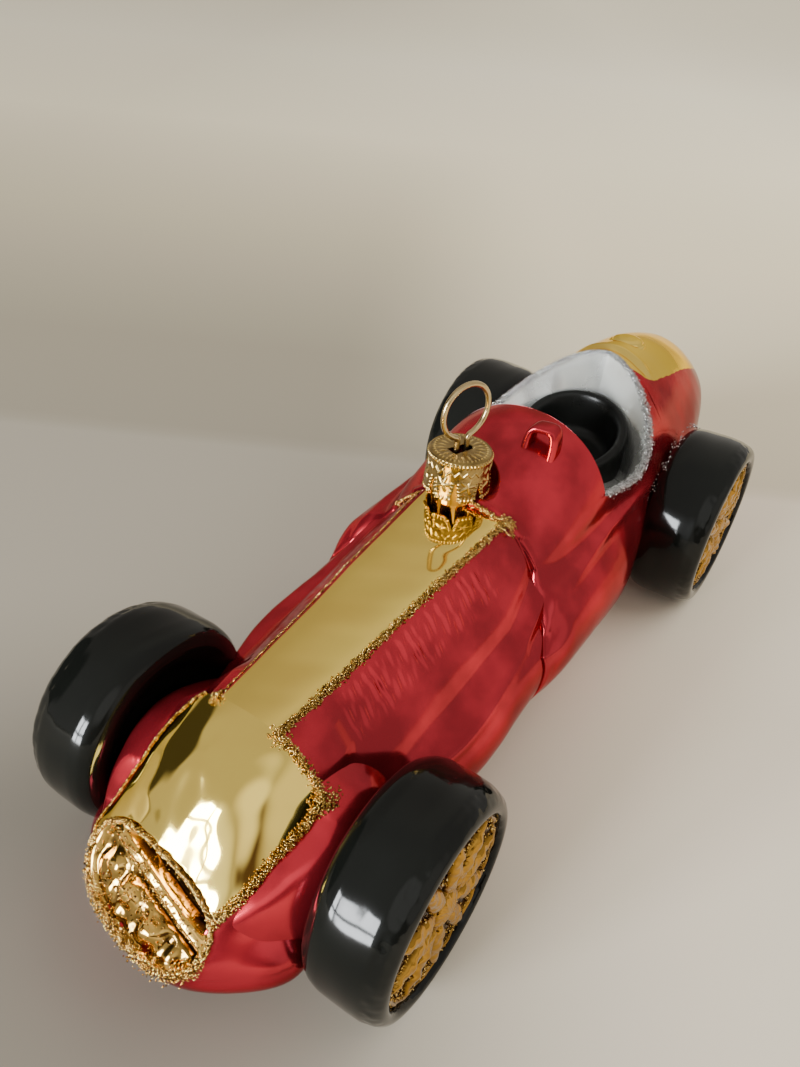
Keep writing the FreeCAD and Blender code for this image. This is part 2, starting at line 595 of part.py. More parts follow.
filler_cap.setExpression("Placement.Base.x", formula(filler_place))
filler_cap.setExpression("Placement.Base.z", formula("filler_seat"))
tail_top = cut("tail_top", panel_full, filler_cap)
hull_rest = cut("hull_rest", rest, panel_full)

# Scoop: an arched air intake on top of the scuttle, open to the front
scoop_place = "%s - scoop_setback - scoop_length" % firewall
scoop_outer = box("scoop_outer", "scoop_length", "scoop_width", "scoop_height", scoop_place,
                  "scoop_offset - scoop_width / 2", "scoop_top - scoop_height")
scoop_mouth = box("scoop_mouth", "scoop_length", "scoop_width - 2 * scoop_wall", "scoop_height",
                  "%s + scoop_length / 3" % scoop_place, "scoop_offset - scoop_width / 2 + scoop_wall",
                  "scoop_top - scoop_height - scoop_wall")
scoop_arch = doc.addObject("Part::Fillet", "scoop_arch")
scoop_arch.Base = scoop_outer
doc.recompute()
top_edges = [number for number, edge in enumerate(scoop_outer.Shape.Edges, start=1)
             if edge.BoundBox.ZMin > length("scoop_top") - length("scoop_wall") / 2]
scoop_arch.Edges = [(number, length("scoop_width") / 5, length("scoop_width") / 5) for number in top_edges]
scoop_shell = cut("scoop_shell", scoop_arch, scoop_mouth)
hull_scooped = fused("hull_scooped", [hull_rest, scoop_shell])
hull_clear = cut("hull_clear", hull_scooped, tyre_spaces)
hull = cut("hull", hull_clear, filler_cap)
nodes = [nose_cowl, nose_pan, grille_node, bonnet, strip, hull, neck, cockpit_tub, seat, tail_top, filler_cap]
body_forms = fused("body_forms", [nose_solid, bonnet_form, rear_form])


def wheel(end, axle, hand, side):
    # a tyre lobe with a crowned tread, the relief disc in its dish, and the stub that joins it to the body
    radius = end + "_tyre_radius"
    width = end + "_tyre_width"
    face = end + "_tyre_face"
    disc_radius = end + "_disc_radius"
    stood = Rotation(Vector(1, 0, 0), -90 * side)
    dish = "disc_recess + disc_thickness"
    tyre = turned("tyre_%s_%s" % (end, hand), [
        ("0", "-" + width), (radius + " - 1.6 * tyre_shoulder", "-" + width),
        (radius + " - 0.5 * tyre_shoulder", "-%s + 0.4 * tyre_shoulder" % width),
        (radius + " - tyre_crown", "-%s + tyre_shoulder" % width),
        (radius, "-0.6 * " + width), (radius, "-0.35 * " + width),
        (radius + " - tyre_crown", "-tyre_shoulder"),
        (radius + " - 0.6 * tyre_shoulder", "-0.4 * tyre_shoulder"),
        (radius + " - tyre_shoulder", "0"), (disc_radius, "0"), (disc_radius, "-(%s)" % dish),
        ("0", "-(%s)" % dish)])
    disc = turned("disc_%s_%s" % (end, hand), [
        ("0", "-(%s)" % dish), (disc_radius, "-(%s)" % dish), (disc_radius, "-disc_recess"),
        ("hub_radius", "-disc_recess"), ("0.8 * hub_radius", "-disc_recess + 0.7 * hub_height"),
        ("0.3 * hub_radius", "-disc_recess + hub_height"), ("0", "-disc_recess + hub_height")])
    petal_outline = outline(disc, "petal_%s_%s_outline" % (end, hand), "XY_Plane", [
        ("0.6 * hub_radius", "-0.1 * petal_width"), ("0.6 * %s" % disc_radius, "-petal_width / 2"),
        (disc_radius + " - petal_rim_gap", "0"), ("0.6 * %s" % disc_radius, "petal_width / 2"),
        ("0.6 * hub_radius", "0.1 * petal_width")])
    petal = disc.newObject("PartDesign::Pad", "petal_%s_%s" % (end, hand))
    petal.Profile = petal_outline
    petal.Reversed = True
    petal.setExpression("Length", formula("disc_recess + disc_thickness / 2"))
    petal_outline.setExpression("AttachmentOffset.Base.z", formula("-disc_recess + petal_height"))
    ring = disc.newObject("PartDesign::PolarPattern", "petals_%s_%s" % (end, hand))
    ring.Originals = [petal]
    ring.Axis = (petal_outline, ["N_Axis"])
    ring.Angle = 360
    ring.Occurrences = petal_count
    disc.Tip = ring
    reach = "(%s - %s - stub_root)" % (face, width)
    if end == "front":
        # a rounded swelling of the body stands in the place of a bare stub: an ellipsoid kept between the flank,
        # the tyre's inner face and a level underside
        room = box("fairing_room_" + hand, "2 * fairing_half_length", reach, "hull_height",
                   axle + " + fairing_lead - fairing_half_length",
                   "stub_root" if side > 0 else "-stub_root - " + reach, "fairing_floor")
        swelling = bound("Part::Ellipsoid", "fairing_form_" + hand, {
            "Radius1": "fairing_half_height", "Radius2": "fairing_half_length", "Radius3": "fairing_half_width",
            "Placement.Base.x": axle + " + fairing_lead", "Placement.Base.z": "fairing_middle"})
        stub = common("fairing_" + hand, swelling, room)
    else:
        stub = cylinder("stub_block_%s_%s" % (end, hand), "stub_radius", reach, axle,
                        "%d * stub_root" % side, radius)
        stub.Placement = Placement(Vector(0, 0, 0), stood)
    for body in (tyre, disc):
        body.Placement = Placement(Vector(0, 0, 0), stood)
        body.setExpression("Placement.Base.x", formula(axle))
        body.setExpression("Placement.Base.y", formula("%d * %s" % (side, face)))
        body.setExpression("Placement.Base.z", formula(radius))
    stub_free = cut("stub_free_%s_%s" % (end, hand), stub, body_forms)
    doc.recompute()
    outer = sorted(stub_free.Shape.Solids, key=lambda piece: -piece.Volume)[0]
    nodes.extend([tyre, disc, feature("stub_%s_%s" % (end, hand), outer)])


for end, axle in (("front", front_axle), ("rear", rear_axle)):
    for hand, side in (("left", 1), ("right", -1)):
        wheel(end, axle, hand, side)

# Stamped cap: a thin cup over the neck, beaded at top and skirt, slit round its skirt into tabs, with a slot
# on top for the wire
cap = turned("cap", [
    ("0", "-cap_wall"), ("cap_radius - cap_wall", "-cap_wall"), ("cap_radius - cap_wall", "-cap_height"),
    ("cap_radius + cap_bead", "-cap_height"), ("cap_radius + cap_bead", "-cap_height + cap_bead"),
    ("cap_radius", "-cap_height + 2 * cap_bead"), ("cap_radius", "-3 * cap_bead"),
    ("cap_radius + cap_bead", "-2 * cap_bead"), ("cap_radius + cap_bead", "-cap_bead"),
    ("cap_radius", "0"), ("0", "0")])
slit_outline = outline(cap, "slit_outline", "XZ_Plane", [
    ("-slit_mouth_width / 2", "-cap_height - overrun"), ("slit_mouth_width / 2", "-cap_height - overrun"),
    ("slit_mouth_width / 2", "-cap_height"), ("slit_end_width / 2", "slit_depth - cap_height"),
    ("-slit_end_width / 2", "slit_depth - cap_height"), ("-slit_mouth_width / 2", "-cap_height")])
slit = cap.newObject("PartDesign::Pocket", "slit")
slit.Profile = slit_outline
slit.Midplane = True
slit.setExpression("Length", formula("4 * cap_radius"))
slits = cap.newObject("PartDesign::PolarPattern", "slits")
slits.Originals = [slit]
slits.Axis = (slit_outline, ["V_Axis"])
slits.Angle = 180 - 360 / slit_count
slits.Occurrences = slit_count // 2
cap.Tip = slits
slot_outline = outline(cap, "slot_outline", "XY_Plane", [
    ("-slot_length / 2", "-slot_width / 2"), ("slot_length / 2", "-slot_width / 2"),
    ("slot_length / 2", "slot_width / 2"), ("-slot_length / 2", "slot_width / 2")])
slot = cap.newObject("PartDesign::Pocket", "slot")
slot.Profile = slot_outline
slot.Midplane = True
slot.setExpression("Length", formula("4 * cap_wall"))
cap.Placement = Placement(Vector(0, 0, 0), Rotation(Vector(0, 0, 1), -ring_turn))
cap.setExpression("Placement.Base.x", formula(neck_place))
cap.setExpression("Placement.Base.y", formula("-neck_offset"))
cap.setExpression("Placement.Base.z", formula("cap_top"))
nodes.append(cap)

# Wire hanger: a round eye whose two legs pass through the slot and spread inside the neck
ring_radius = length("ring_radius")
bend_radius = length("leg_bend_radius")
half_gap = length("leg_half_gap")
ring_centre = length("ring_top - wire_diameter / 2 - ring_radius")
reach = ring_radius + bend_radius
offset = half_gap + bend_radius
bend_z = ring_centre - math.sqrt(reach ** 2 - offset ** 2)
touch = ring_radius / reach
turn = math.atan2(ring_centre - bend_z, offset)


def at(x, z):
    return Vector(x, 0, z)


def leg(side):
    # where the straight leg ends, the middle of its small bend, and where the bend meets the ring
    bend_centre = at(side * offset, bend_z)
    start = at(side * half_gap, bend_z)
    end = at(side * offset * touch, ring_centre - (ring_centre - bend_z) * touch)
    middle = bend_centre + at(-side * bend_radius * math.cos(turn / 2), bend_radius * math.sin(turn / 2))
    return start, middle, end


left_start, left_middle, left_end = leg(-1)
right_start, right_middle, right_end = leg(1)
straight_z = length("leg_straight_end")
tip_gap = length("leg_tip_half_gap")
tip_z = length("leg_tip_height")
path = Part.Wire([
    Part.makeLine(at(-tip_gap, tip_z), at(-half_gap, straight_z)),
    Part.makeLine(at(-half_gap, straight_z), left_start),
    Part.Arc(left_start, left_middle, left_end).toShape(),
    Part.Arc(left_end, at(0, ring_centre + ring_radius), right_end).toShape(),
    Part.Arc(right_end, right_middle, right_start).toShape(),
    Part.makeLine(right_start, at(half_gap, straight_z)),
    Part.makeLine(at(half_gap, straight_z), at(tip_gap, tip_z))])
first = path.Edges[0]
section = Part.Wire([Part.makeCircle(
    length("wire_diameter / 2"), first.valueAt(first.FirstParameter), first.tangentAt(first.FirstParameter))])
wire = path.makePipeShell([section], True, False, 1)
wire.rotate(Vector(0, 0, 0), Vector(0, 0, 1), -ring_turn)
wire.translate(Vector(length(neck_place), -length("neck_offset"), 0))
nodes.append(feature("hanger", wire))

doc.recompute()
for made in doc.Objects:
    if "Invalid" in made.State or "Error" in made.State:
        raise RuntimeError(made.Label + " failed")
for node in nodes:
    if node.Shape.isNull() or not node.Shape.isValid():
        raise RuntimeError(node.Label + " has no valid shape")
os.makedirs("parts", exist_ok=True)
for node in nodes:
    node.Shape.exportStep("parts/" + node.Label + ".step")
    print(node.Label, len(node.Shape.Solids), round(node.Shape.Volume, 1))
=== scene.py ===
# A mouth-blown glass Christmas ornament shaped as a vintage open-wheel racing car: ruby and gold lacquer over
# silvered glass, black tyre lobes, glitter glued along the seams, and a stamped cap with a wire hanger.
import math
import bmesh
import bpy
import numpy as np
from mathutils import Matrix, Vector


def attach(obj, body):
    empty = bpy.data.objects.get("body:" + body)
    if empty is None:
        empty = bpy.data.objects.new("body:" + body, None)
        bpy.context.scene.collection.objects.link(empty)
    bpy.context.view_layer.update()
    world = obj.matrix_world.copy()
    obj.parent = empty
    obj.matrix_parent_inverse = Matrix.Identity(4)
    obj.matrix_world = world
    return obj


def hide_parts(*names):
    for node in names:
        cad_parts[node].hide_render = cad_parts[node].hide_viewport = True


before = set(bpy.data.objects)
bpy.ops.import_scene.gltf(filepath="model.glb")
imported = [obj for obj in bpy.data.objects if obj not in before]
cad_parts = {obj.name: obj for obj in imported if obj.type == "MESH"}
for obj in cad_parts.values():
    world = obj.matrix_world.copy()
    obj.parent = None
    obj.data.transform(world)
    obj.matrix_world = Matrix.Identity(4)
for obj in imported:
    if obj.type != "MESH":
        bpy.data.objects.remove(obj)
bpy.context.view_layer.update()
MM = 0.001

# The studio: one pale sheet on a table, a soft overhead light, a window to the front, and dim surroundings
# that the mirror lacquers reflect.
HEADING = (-0.8616, -0.5076)


def feed(tree, node, sockets):
    """Sets a node's inputs, by name or number: an output is linked, anything else is the input's own value."""
    for name, value in sockets.items():
        if isinstance(value, bpy.types.NodeSocket):
            tree.links.new(value, node.inputs[name])
        else:
            node.inputs[name].default_value = value


def add_node(tree, kind, sockets, **settings):
    """A new shader node with its settings and its inputs."""
    node = tree.nodes.new(kind)
    for setting, value in settings.items():
        setattr(node, setting, value)
    feed(tree, node, sockets)
    return node


def vector_value(tree, operation, first, second):
    return add_node(tree, "ShaderNodeVectorMath", {0: first, 1: second}, operation=operation).outputs["Value"]


def mapped(tree, value, low, high, to_low=0.0, to_high=1.0, kind="LINEAR"):
    """A value between low and high brought to its place between to_low and to_high."""
    ends = {"Value": value, "From Min": low, "From Max": high, "To Min": to_low, "To Max": to_high}
    return add_node(tree, "ShaderNodeMapRange", ends, interpolation_type=kind).outputs["Result"]


def mixed(tree, share, first, second):
    """Colour at a share of the way between two colours, each given as three numbers or as an output."""
    first, second = ((*colour, 1) if isinstance(colour, tuple) else colour for colour in (first, second))
    ends = {"Factor": share, "A": first, "B": second}
    return add_node(tree, "ShaderNodeMix", ends, data_type="RGBA").outputs["Result"]


def toned(tree, value, *places):
    """Colour of a value on a ramp, whose stops are given as (place, colour) from the lowest to the highest."""
    ramp = add_node(tree, "ShaderNodeValToRGB", {"Fac": value})
    stops = ramp.color_ramp.elements
    for stop, (place, colour) in zip((stops[0], stops[1]), (places[0], places[-1])):
        stop.position, stop.color = place, (*colour, 1)
    for place, colour in places[1:-1]:
        stops.new(place).color = (*colour, 1)
    return ramp.outputs["Color"]


def new_material(name):
    """A material, its node tree and its shader."""
    material = bpy.data.materials.new(name)
    material.use_nodes = True
    return material, material.node_tree, material.node_tree.nodes["Principled BSDF"]


def toward(azimuth, height):
    """Unit vector to a place on the room's sky, from degrees round from the car's nose and degrees up."""
    azimuth, height = math.radians(azimuth), math.radians(height)
    return (math.cos(azimuth) * math.cos(height), math.sin(azimuth) * math.cos(height), math.sin(height))


def room_world():
    """The room all round, as the mirror lacquer shows it: pale walls and ceiling, soft dark and bright patches,
    each mixed in between two angles from its middle. The camera itself sees a plain pale wall."""
    patches = (
        (-150, 36, 22, 50, (0.74, 0.70, 0.62)),
        (-112, 12, 30, 62, (0.46, 0.42, 0.37)),
        (-72, 16, 23, 29, (0.06, 0.055, 0.045)),
        (45, 4, 18, 30, (0.11, 0.07, 0.06)),
        (82, 22, 10, 30, (0.95, 0.90, 0.82)),
        (32, 38, 12, 26, (1.25, 1.22, 1.15)),
        (-8, 10, 9, 22, (1.2, 1.22, 1.2)))
    world = bpy.data.worlds.new("room")
    bpy.context.scene.world = world
    world.use_nodes = True
    tree = world.node_tree
    tree.nodes.clear()
    where = add_node(tree, "ShaderNodeTexCoord", {}).outputs["Generated"]
    colour = (0.60, 0.57, 0.525)
    for azimuth, height, inner, outer, tone in patches:
        near = vector_value(tree, "DOT_PRODUCT", where, toward(azimuth, height))
        edge = mapped(tree, near, math.cos(math.radians(outer)), math.cos(math.radians(inner)),
                      kind="SMOOTHSTEP")
        colour = mixed(tree, edge, colour, tone)
    seen = add_node(tree, "ShaderNodeLightPath", {}).outputs["Is Camera Ray"]
    back = add_node(tree, "ShaderNodeBackground", {"Color": mixed(tree, seen, colour, (0.62, 0.59, 0.54))})
    add_node(tree, "ShaderNodeOutputWorld", {"Surface": back.outputs["Background"]})


room_world()


def area_light(name, place, target, width, height, power, colour):
    lamp = bpy.data.lights.new(name, "AREA")
    lamp.shape = "RECTANGLE"
    lamp.size, lamp.size_y = width, height
    lamp.energy = power
    lamp.color = colour
    holder = bpy.data.objects.new(name, lamp)
    bpy.context.collection.objects.link(holder)
    holder.location = place
    holder.rotation_euler = (Vector(target) - Vector(place)).to_track_quat("-Z", "Y").to_euler()
    return holder


overhead = area_light("overhead", (-0.30, 0.42, 0.62), (0.0, 0.0, 0.02), 0.7, 0.6, 3.4, (1.0, 0.955, 0.89))
overhead.visible_glossy = False
# the window stands low in front, where the front tyre shows it as four small panes
window_aim = Vector((0.064, 0.020, 0.024))
window = window_aim + 0.9 * Vector(toward(-17, 7))
for across in (-1, 1):
    for up in (-1, 1):
        place = window + Vector((0.29, 0.95, 0)) * across * 0.10 + Vector((0, 0, 1)) * up * 0.13
        area_light("window_%d_%d" % (across, up), place, window_aim, 0.165, 0.22, 7.0, (0.93, 0.97, 1.0))


def sheet_material():
    """Plain paper with painted light and shade: beyond a straight fold across the camera's heading a painted
    shade makes it a little darker, then painted light makes it paler. The painted light falls off from the right
    to the left, more so on the near side, and a painted shadow darkens it close to the nose."""
    paper, tree, shader = new_material("paper")
    where = add_node(tree, "ShaderNodeTexCoord", {}).outputs["Object"]
    ahead = vector_value(tree, "DOT_PRODUCT", where, (HEADING[0], HEADING[1], 0))
    beside = vector_value(tree, "DOT_PRODUCT", where, (HEADING[1], -HEADING[0], 0))
    from_nose = vector_value(tree, "DISTANCE", where, (0.105, -0.02, 0))
    # painted light: the paper is lighter to the right and further away, darker to the left on the near side
    level = add_node(tree, "ShaderNodeMix", {
        "Factor": mapped(tree, ahead, 0.12, 0.45),
        "A": mapped(tree, beside, -0.045, 0.045, 0.62, 1.42, "SMOOTHSTEP"),
        "B": mapped(tree, beside, -0.23, 0.22, 1.3, 1.85)})
    # painted shadow round the nose: the paper darkens towards the nose, from 85 mm away to 20 mm
    shade = mapped(tree, from_nose, 0.02, 0.085, 0.64, 1.0, "SMOOTHSTEP")
    both = add_node(tree, "ShaderNodeMath", {0: level.outputs["Result"], 1: shade}, operation="MULTIPLY")
    # paper colour with a painted shade just beyond the fold, then painted light making it paler further away
    tone = toned(tree, ahead, (0.0605, (0.60, 0.537, 0.43)), (0.0635, (0.50, 0.445, 0.338)),
                 (0.25, (0.64, 0.563, 0.40)), (0.8, (0.78, 0.722, 0.565)))
    lit = add_node(tree, "ShaderNodeVectorMath", {0: tone, "Scale": both.outputs["Value"]}, operation="SCALE")
    feed(tree, shader, {"Roughness": 0.9, "Base Color": lit.outputs["Vector"]})
    return paper


floor_mesh = bpy.data.meshes.new("floor")
floor_mesh.from_pydata([(-9, -9, 0), (9, -9, 0), (9, 9, 0), (-9, 9, 0)], [], [(0, 1, 2, 3)])
floor = bpy.data.objects.new("floor", floor_mesh)
bpy.context.collection.objects.link(floor)
floor.data.materials.append(sheet_material())

# Camera: close above the car's front left, as the photograph was taken
eye = Vector((0.1199, 0.0494, 0.1108))
look = Vector((-0.7039, -0.4147, -0.5767))
right = Vector((-0.556, 0.8269, 0.0841))
above = Vector((-0.442, -0.3799, 0.8126))
FRAME_HEIGHT = 1067
FOCAL_PIXELS = 866.17
SENSOR_MM = 36
camera_data = bpy.data.cameras.new("camera")
camera_data.lens = FOCAL_PIXELS / FRAME_HEIGHT * SENSOR_MM
camera_data.clip_start = 0.005
camera = bpy.data.objects.new("camera", camera_data)
bpy.context.collection.objects.link(camera)
turned = Matrix((right, above, -look)).transposed().to_4x4()
camera.matrix_world = Matrix.Translation(eye) @ turned
bpy.context.scene.camera = camera

# Nose of the blown body: the gold cowl over its upper side and the red pan below. The whole car is one bubble
# of glass blown into a mould, so nose, bonnet and rear are nets of half-sections (x, then y and z in mm).
nose_sections = [
    (67.5, [(0, 33.7), (5, 33.4), (8.5, 31.2), (12.3, 27),
        (13.2, 21), (15, 16.5), (16.6, 11), (14.6, 3.6), (0, 4.2)]),
    (72, [(0, 31.9), (5.5, 31.4), (9.5, 28.4), (12.6, 22.6),
        (13.6, 18.5), (15.6, 15.3), (17.2, 10.5), (14.9, 3.6), (0, 4.2)]),
    (76.5, [(0, 28), (5.5, 27.4), (10, 24), (12.4, 19.4),
        (13.6, 16.6), (16.4, 14.5), (18.6, 10.2), (15, 3.8), (0, 4.3)]),
    (80.5, [(0, 21.5), (5.5, 21.2), (10, 19.6), (12, 17.6),
        (13.6, 15.3), (15.8, 13.5), (17.8, 9.8), (13.8, 4.2), (0, 4.6)]),
    (84, [(0, 17.2), (5.2, 17), (9, 16.2), (11, 15.2),
        (12.4, 13.8), (13.8, 12), (14.8, 9.6), (11.5, 5), (0, 5)]),
    (87.2, [(0, 14.6), (4.5, 14.4), (7.6, 13.8), (9, 13),
        (9.8, 12), (10.6, 10.8), (10.6, 9.3), (8.2, 6), (0, 5.6)]),
    (89.4, [(0, 12.3), (3, 12.2), (5, 11.8), (6, 11.3),
        (6.4, 10.7), (6.5, 10), (6.2, 9), (4.8, 7.2), (0, 6.8)]),
    (90, [(0, 10.6), (0.8, 10.6), (1.3, 10.4), (1.6, 10.1),
        (1.7, 9.8), (1.6, 9.5), (1.4, 9.2), (0.9, 9), (0, 8.9)]),
]


def unit(value):
    """The value held between 0 and 1."""
    return np.clip(value, 0, 1)


def eased(share):
    """Smooth step from 0 to 1: the share's square times three less twice the share."""
    share = unit(share)
    return share ** 2 * (3 - 2 * share)


def bell(off, width):
    """Bell curve: 1 where off is nought, dying away over the width."""
    return np.exp(-(off / width) ** 2)


def signed_power(value, power):
    """Power of the value's size, with the value's own sign; it squares off a circle's sine and cosine."""
    return np.sign(value) * np.abs(value) ** power


def blown_surface(sections, station, around):
    """Clamped cubic B-spline along the car of closed cubic B-splines round it: each point is the sum of the
    net's points, each times its station weight and its round weight. Stations are x in mm, one per row; around
    counts the net's points from the top centre towards the car's left. Under the nose the chin is drawn back."""
    net = np.array([[(x, y, z) for y, z in half] + [(x, -y, z) for y, z in half[-2:0:-1]]
                    for x, half in sections])
    rows, count = net.shape[:2]
    knots = np.concatenate([np.zeros(3), np.arange(rows - 2), np.full(3, rows - 3)]).astype(float)

    def weights(v):
        v = np.clip(v, 0, rows - 3 - 1e-9)[:, None]
        basis = ((knots[:-1] <= v) & (v < knots[1:])).astype(float)
        for degree in (1, 2, 3):
            low = knots[degree:-1] - knots[:-degree - 1]
            high = knots[degree + 1:] - knots[1:-degree]
            rise = (v - knots[:-degree - 1]) / np.where(low > 0, low, 1)
            fall = (knots[degree + 1:] - v) / np.where(high > 0, high, 1)
            basis = rise * basis[:, :-1] + fall * basis[:, 1:]
        return basis

    dense = np.linspace(0, rows - 3, 1500)
    dense_x = weights(dense) @ net[:, 0, 0]
    order = np.argsort(dense_x)
    at = weights(np.interp(np.atleast_1d(station), dense_x[order], dense[order]))
    ring = np.einsum("rn,nmk->rmk", at, net)
    whole = np.floor(around).astype(int)
    t = (around - whole)[..., None]
    parts = ((1 - t) ** 3, 3 * t ** 3 - 6 * t ** 2 + 4, -3 * t ** 3 + 3 * t ** 2 + 3 * t + 1, t ** 3)
    pick = np.arange(len(ring))[:, None]
    points = sum(part / 6 * ring[pick, (whole + step - 1) % count] for step, part in enumerate(parts))
    x, y, z = np.moveaxis(points, -1, 0)
    x -= eased((x - 73) / 13) * eased((18 - z) / 11) * (2.6 - 1.0 * np.tanh(y / 5))
    return points


def crossing(sections, station, outside):
    """Round place, for each station, where outside(point) first turns true on the way from the top centre."""
    fine = np.linspace(0, len(sections[0][1]) - 1, 500)
    value = outside(blown_surface(sections, station, np.tile(fine, (len(station), 1))))
    first = np.argmax(value > 0, axis=1)
    first = np.where((value > 0).any(axis=1), np.maximum(first, 1), len(fine) - 1)
    row = np.arange(len(station))
    before, after = value[row, first - 1], value[row, first]
    share = np.where(after > before, -before / np.where(after > before, after - before, 1), 0)
    return fine[first - 1] + unit(share) * (fine[first] - fine[first - 1])


def grid_normals(points, closed):
    """Outward normals of a grid, from the cross product of its differences along rows and columns."""
    if closed:
        wrapped = np.concatenate([points[:, -2:-1], points, points[:, 1:2]], axis=1)
        across = wrapped[:, 2:] - wrapped[:, :-2]
    else:
        across = np.gradient(points, axis=1, edge_order=2)
    normal = np.cross(np.gradient(points, axis=0, edge_order=2), across)
    return normal / np.maximum(np.linalg.norm(normal, axis=-1, keepdims=True), 1e-9)


def rounded(points, side=1):
    """A grid that closes on itself round each row, with its normals, which side turns the other way."""
    return points, grid_normals(points, True) * side


def hand_blown(points):
    """Slow waves of the glass in mm: a sum of sines of the place, as a mould and a breath leave them."""
    x, y, z = np.moveaxis(points, -1, 0)
    wave = 0.075 * np.sin(0.31 * x + 0.23 * y + 1.1) * np.sin(0.27 * z - 0.28 * y + 0.4)
    wave += 0.028 * np.sin(0.63 * x - 0.42 * z) * np.sin(0.55 * y + 0.35 * x + 2.0)
    wave += 0.004 * np.sin(1.5 * x + 1.1 * y) * np.sin(1.3 * z + 0.6 * x)
    return wave


def new_piece(name, vertices, faces, material):
    """An object at the origin with its material and one mesh: points in mm, faces all with as many corners."""
    mesh = bpy.data.meshes.new(name)
    mesh.vertices.add(len(vertices))
    mesh.vertices.foreach_set("co", (vertices * MM).ravel())
    mesh.loops.add(faces.size)
    mesh.loops.foreach_set("vertex_index", faces.ravel().astype(np.int32))
    mesh.polygons.add(len(faces))
    mesh.polygons.foreach_set("loop_start", np.arange(0, faces.size, faces.shape[1], dtype=np.int32))
    mesh.update(calc_edges=True)
    piece = bpy.data.objects.new(name, mesh)
    bpy.context.collection.objects.link(piece)
    mesh.materials.append(material)
    return piece


def mark_points(piece, name, values):
    """Stores one value for each point of a mesh, for its material."""
    mark = piece.data.attributes.new(name, "FLOAT", "POINT")
    mark.data.foreach_set("value", values.ravel().astype(np.float32))


def glass_mesh(name, patches, material):
    """One smooth mesh of several grids in mm, each given as points and normals; quads join neighbours in it."""
    starts, vertices, normals, quads = 0, [], [], []
    for points, normal in patches:
        rows, columns = points.shape[:2]
        index = np.arange(rows * columns).reshape(rows, columns)
        quad = np.stack([index[:-1, :-1], index[1:, :-1], index[1:, 1:], index[:-1, 1:]], axis=-1)
        quad = quad.reshape(-1, 4)
        corner = points.reshape(-1, 3)[quad]
        facing = np.cross(corner[:, 1] - corner[:, 0], corner[:, 2] - corner[:, 0])
        if (facing * normal.reshape(-1, 3)[quad[:, 0]]).sum() < 0:
            quad = quad[:, ::-1]
        quads.append(starts + quad)
        vertices.append(points.reshape(-1, 3))
        normals.append(normal.reshape(-1, 3))
        starts += rows * columns
    piece = new_piece(name, np.concatenate(vertices), np.concatenate(quads), material)
    piece.data.polygons.foreach_set("use_smooth", np.ones(len(piece.data.polygons), bool))
    piece.data.normals_split_custom_set_from_vertices(np.concatenate(normals))
    return piece


def clouds(tree, scale, detail):
    """Cloudy noise over the piece's own coordinates."""
    where = add_node(tree, "ShaderNodeTexCoord", {}).outputs["Object"]
    noise = add_node(tree, "ShaderNodeTexNoise", {"Vector": where, "Scale": scale, "Detail": detail})
    return noise.outputs["Fac"]


def bumped(tree, height, rise):
    """Normal of a surface that a value raises by up to so many mm."""
    return add_node(tree, "ShaderNodeBump", {"Height": height, "Distance": rise * MM}).outputs["Normal"]


def mirror_lacquer(name, colour, roughness, ripple, patch, coat, metallic=1.0):
    """Coloured lacquer over silvered glass: a tinted mirror under a clear coat, with slow ripples."""
    lacquer, tree, shader = new_material(name)
    cloud = clouds(tree, 90, 4)
    pale, deep = (tuple(min(1, c * (1 + side * patch)) for c in colour) for side in (1, -1))
    feed(tree, shader, {
        "Metallic": metallic, "Coat Weight": coat, "Coat Roughness": 0.08,
        "Specular Tint": (*(min(1, 0.2 + c * 0.72) for c in colour), 1),
        "Base Color": mixed(tree, mapped(tree, cloud, 0.36, 0.64, kind="SMOOTHSTEP"), deep, pale),
        "Roughness": mapped(tree, cloud, 0.3, 0.7, roughness * 0.7, roughness * 1.3),
        "Normal": bumped(tree, clouds(tree, 120, 1), ripple)})
    return lacquer


ruby_lacquer = mirror_lacquer("ruby_lacquer", (0.47, 0.027, 0.042), 0.2, 0.09, 0.28, 0.2, 0.85)
gold_lacquer = mirror_lacquer("gold_lacquer", (1.0, 0.72, 0.165), 0.06, 0.012, 0.03, 0.04)

# The line where gold meets red down the nose, on the car's right and left, as heights at places along it; and
# the mouth that the grille fills: its middle, the ways out of it and down it, and its slightly turned outline
COWL_REAR, COWL_TIP, NOSE_TIP = 67.5, 84.0, 90.0
COWL_RIGHT = ((64, 67.5, 68.5, 71.5, 75, 76.2, 78, 81.2, 90),
              (32.8, 32.4, 31, 27.5, 24.3, 21, 17, 14.6, 14.6))
COWL_LEFT = ((64, 67.5, 70.5, 75.4, 79.1, 82.1, 84, 90), (26.9, 26.8, 24.9, 23, 20.6, 18.2, 16.4, 14.6))
MOUTH_TILT = math.radians(40)
MOUTH_CENTRE = np.array([84.5, 0.0, 14.6])
MOUTH_AXIS = np.array([math.sin(MOUTH_TILT), 0.0, math.cos(MOUTH_TILT)])
MOUTH_DOWN = np.array([math.cos(MOUTH_TILT), 0.0, -math.sin(MOUTH_TILT)])
MOUTH_HALF_WIDTH, MOUTH_HALF_LENGTH, MOUTH_POWER = 10.1, 5.5, 2.6
MOUTH_SHIFT = -1.1
MOUTH_COS, MOUTH_SIN = math.cos(math.radians(9)), math.sin(math.radians(9))


def mouth_place(points):
    """Distance out of the mouth's rounded outline, as a share of its size: under 1 is inside."""
    off = points - MOUTH_CENTRE
    across, down = off[..., 1] - MOUTH_SHIFT, off @ MOUTH_DOWN - MOUTH_SHIFT
    along = np.abs(across * MOUTH_COS + down * MOUTH_SIN) / MOUTH_HALF_WIDTH
    over = np.abs(down * MOUTH_COS - across * MOUTH_SIN) / MOUTH_HALF_LENGTH
    return (along ** MOUTH_POWER + over ** MOUTH_POWER) ** (1 / MOUTH_POWER)


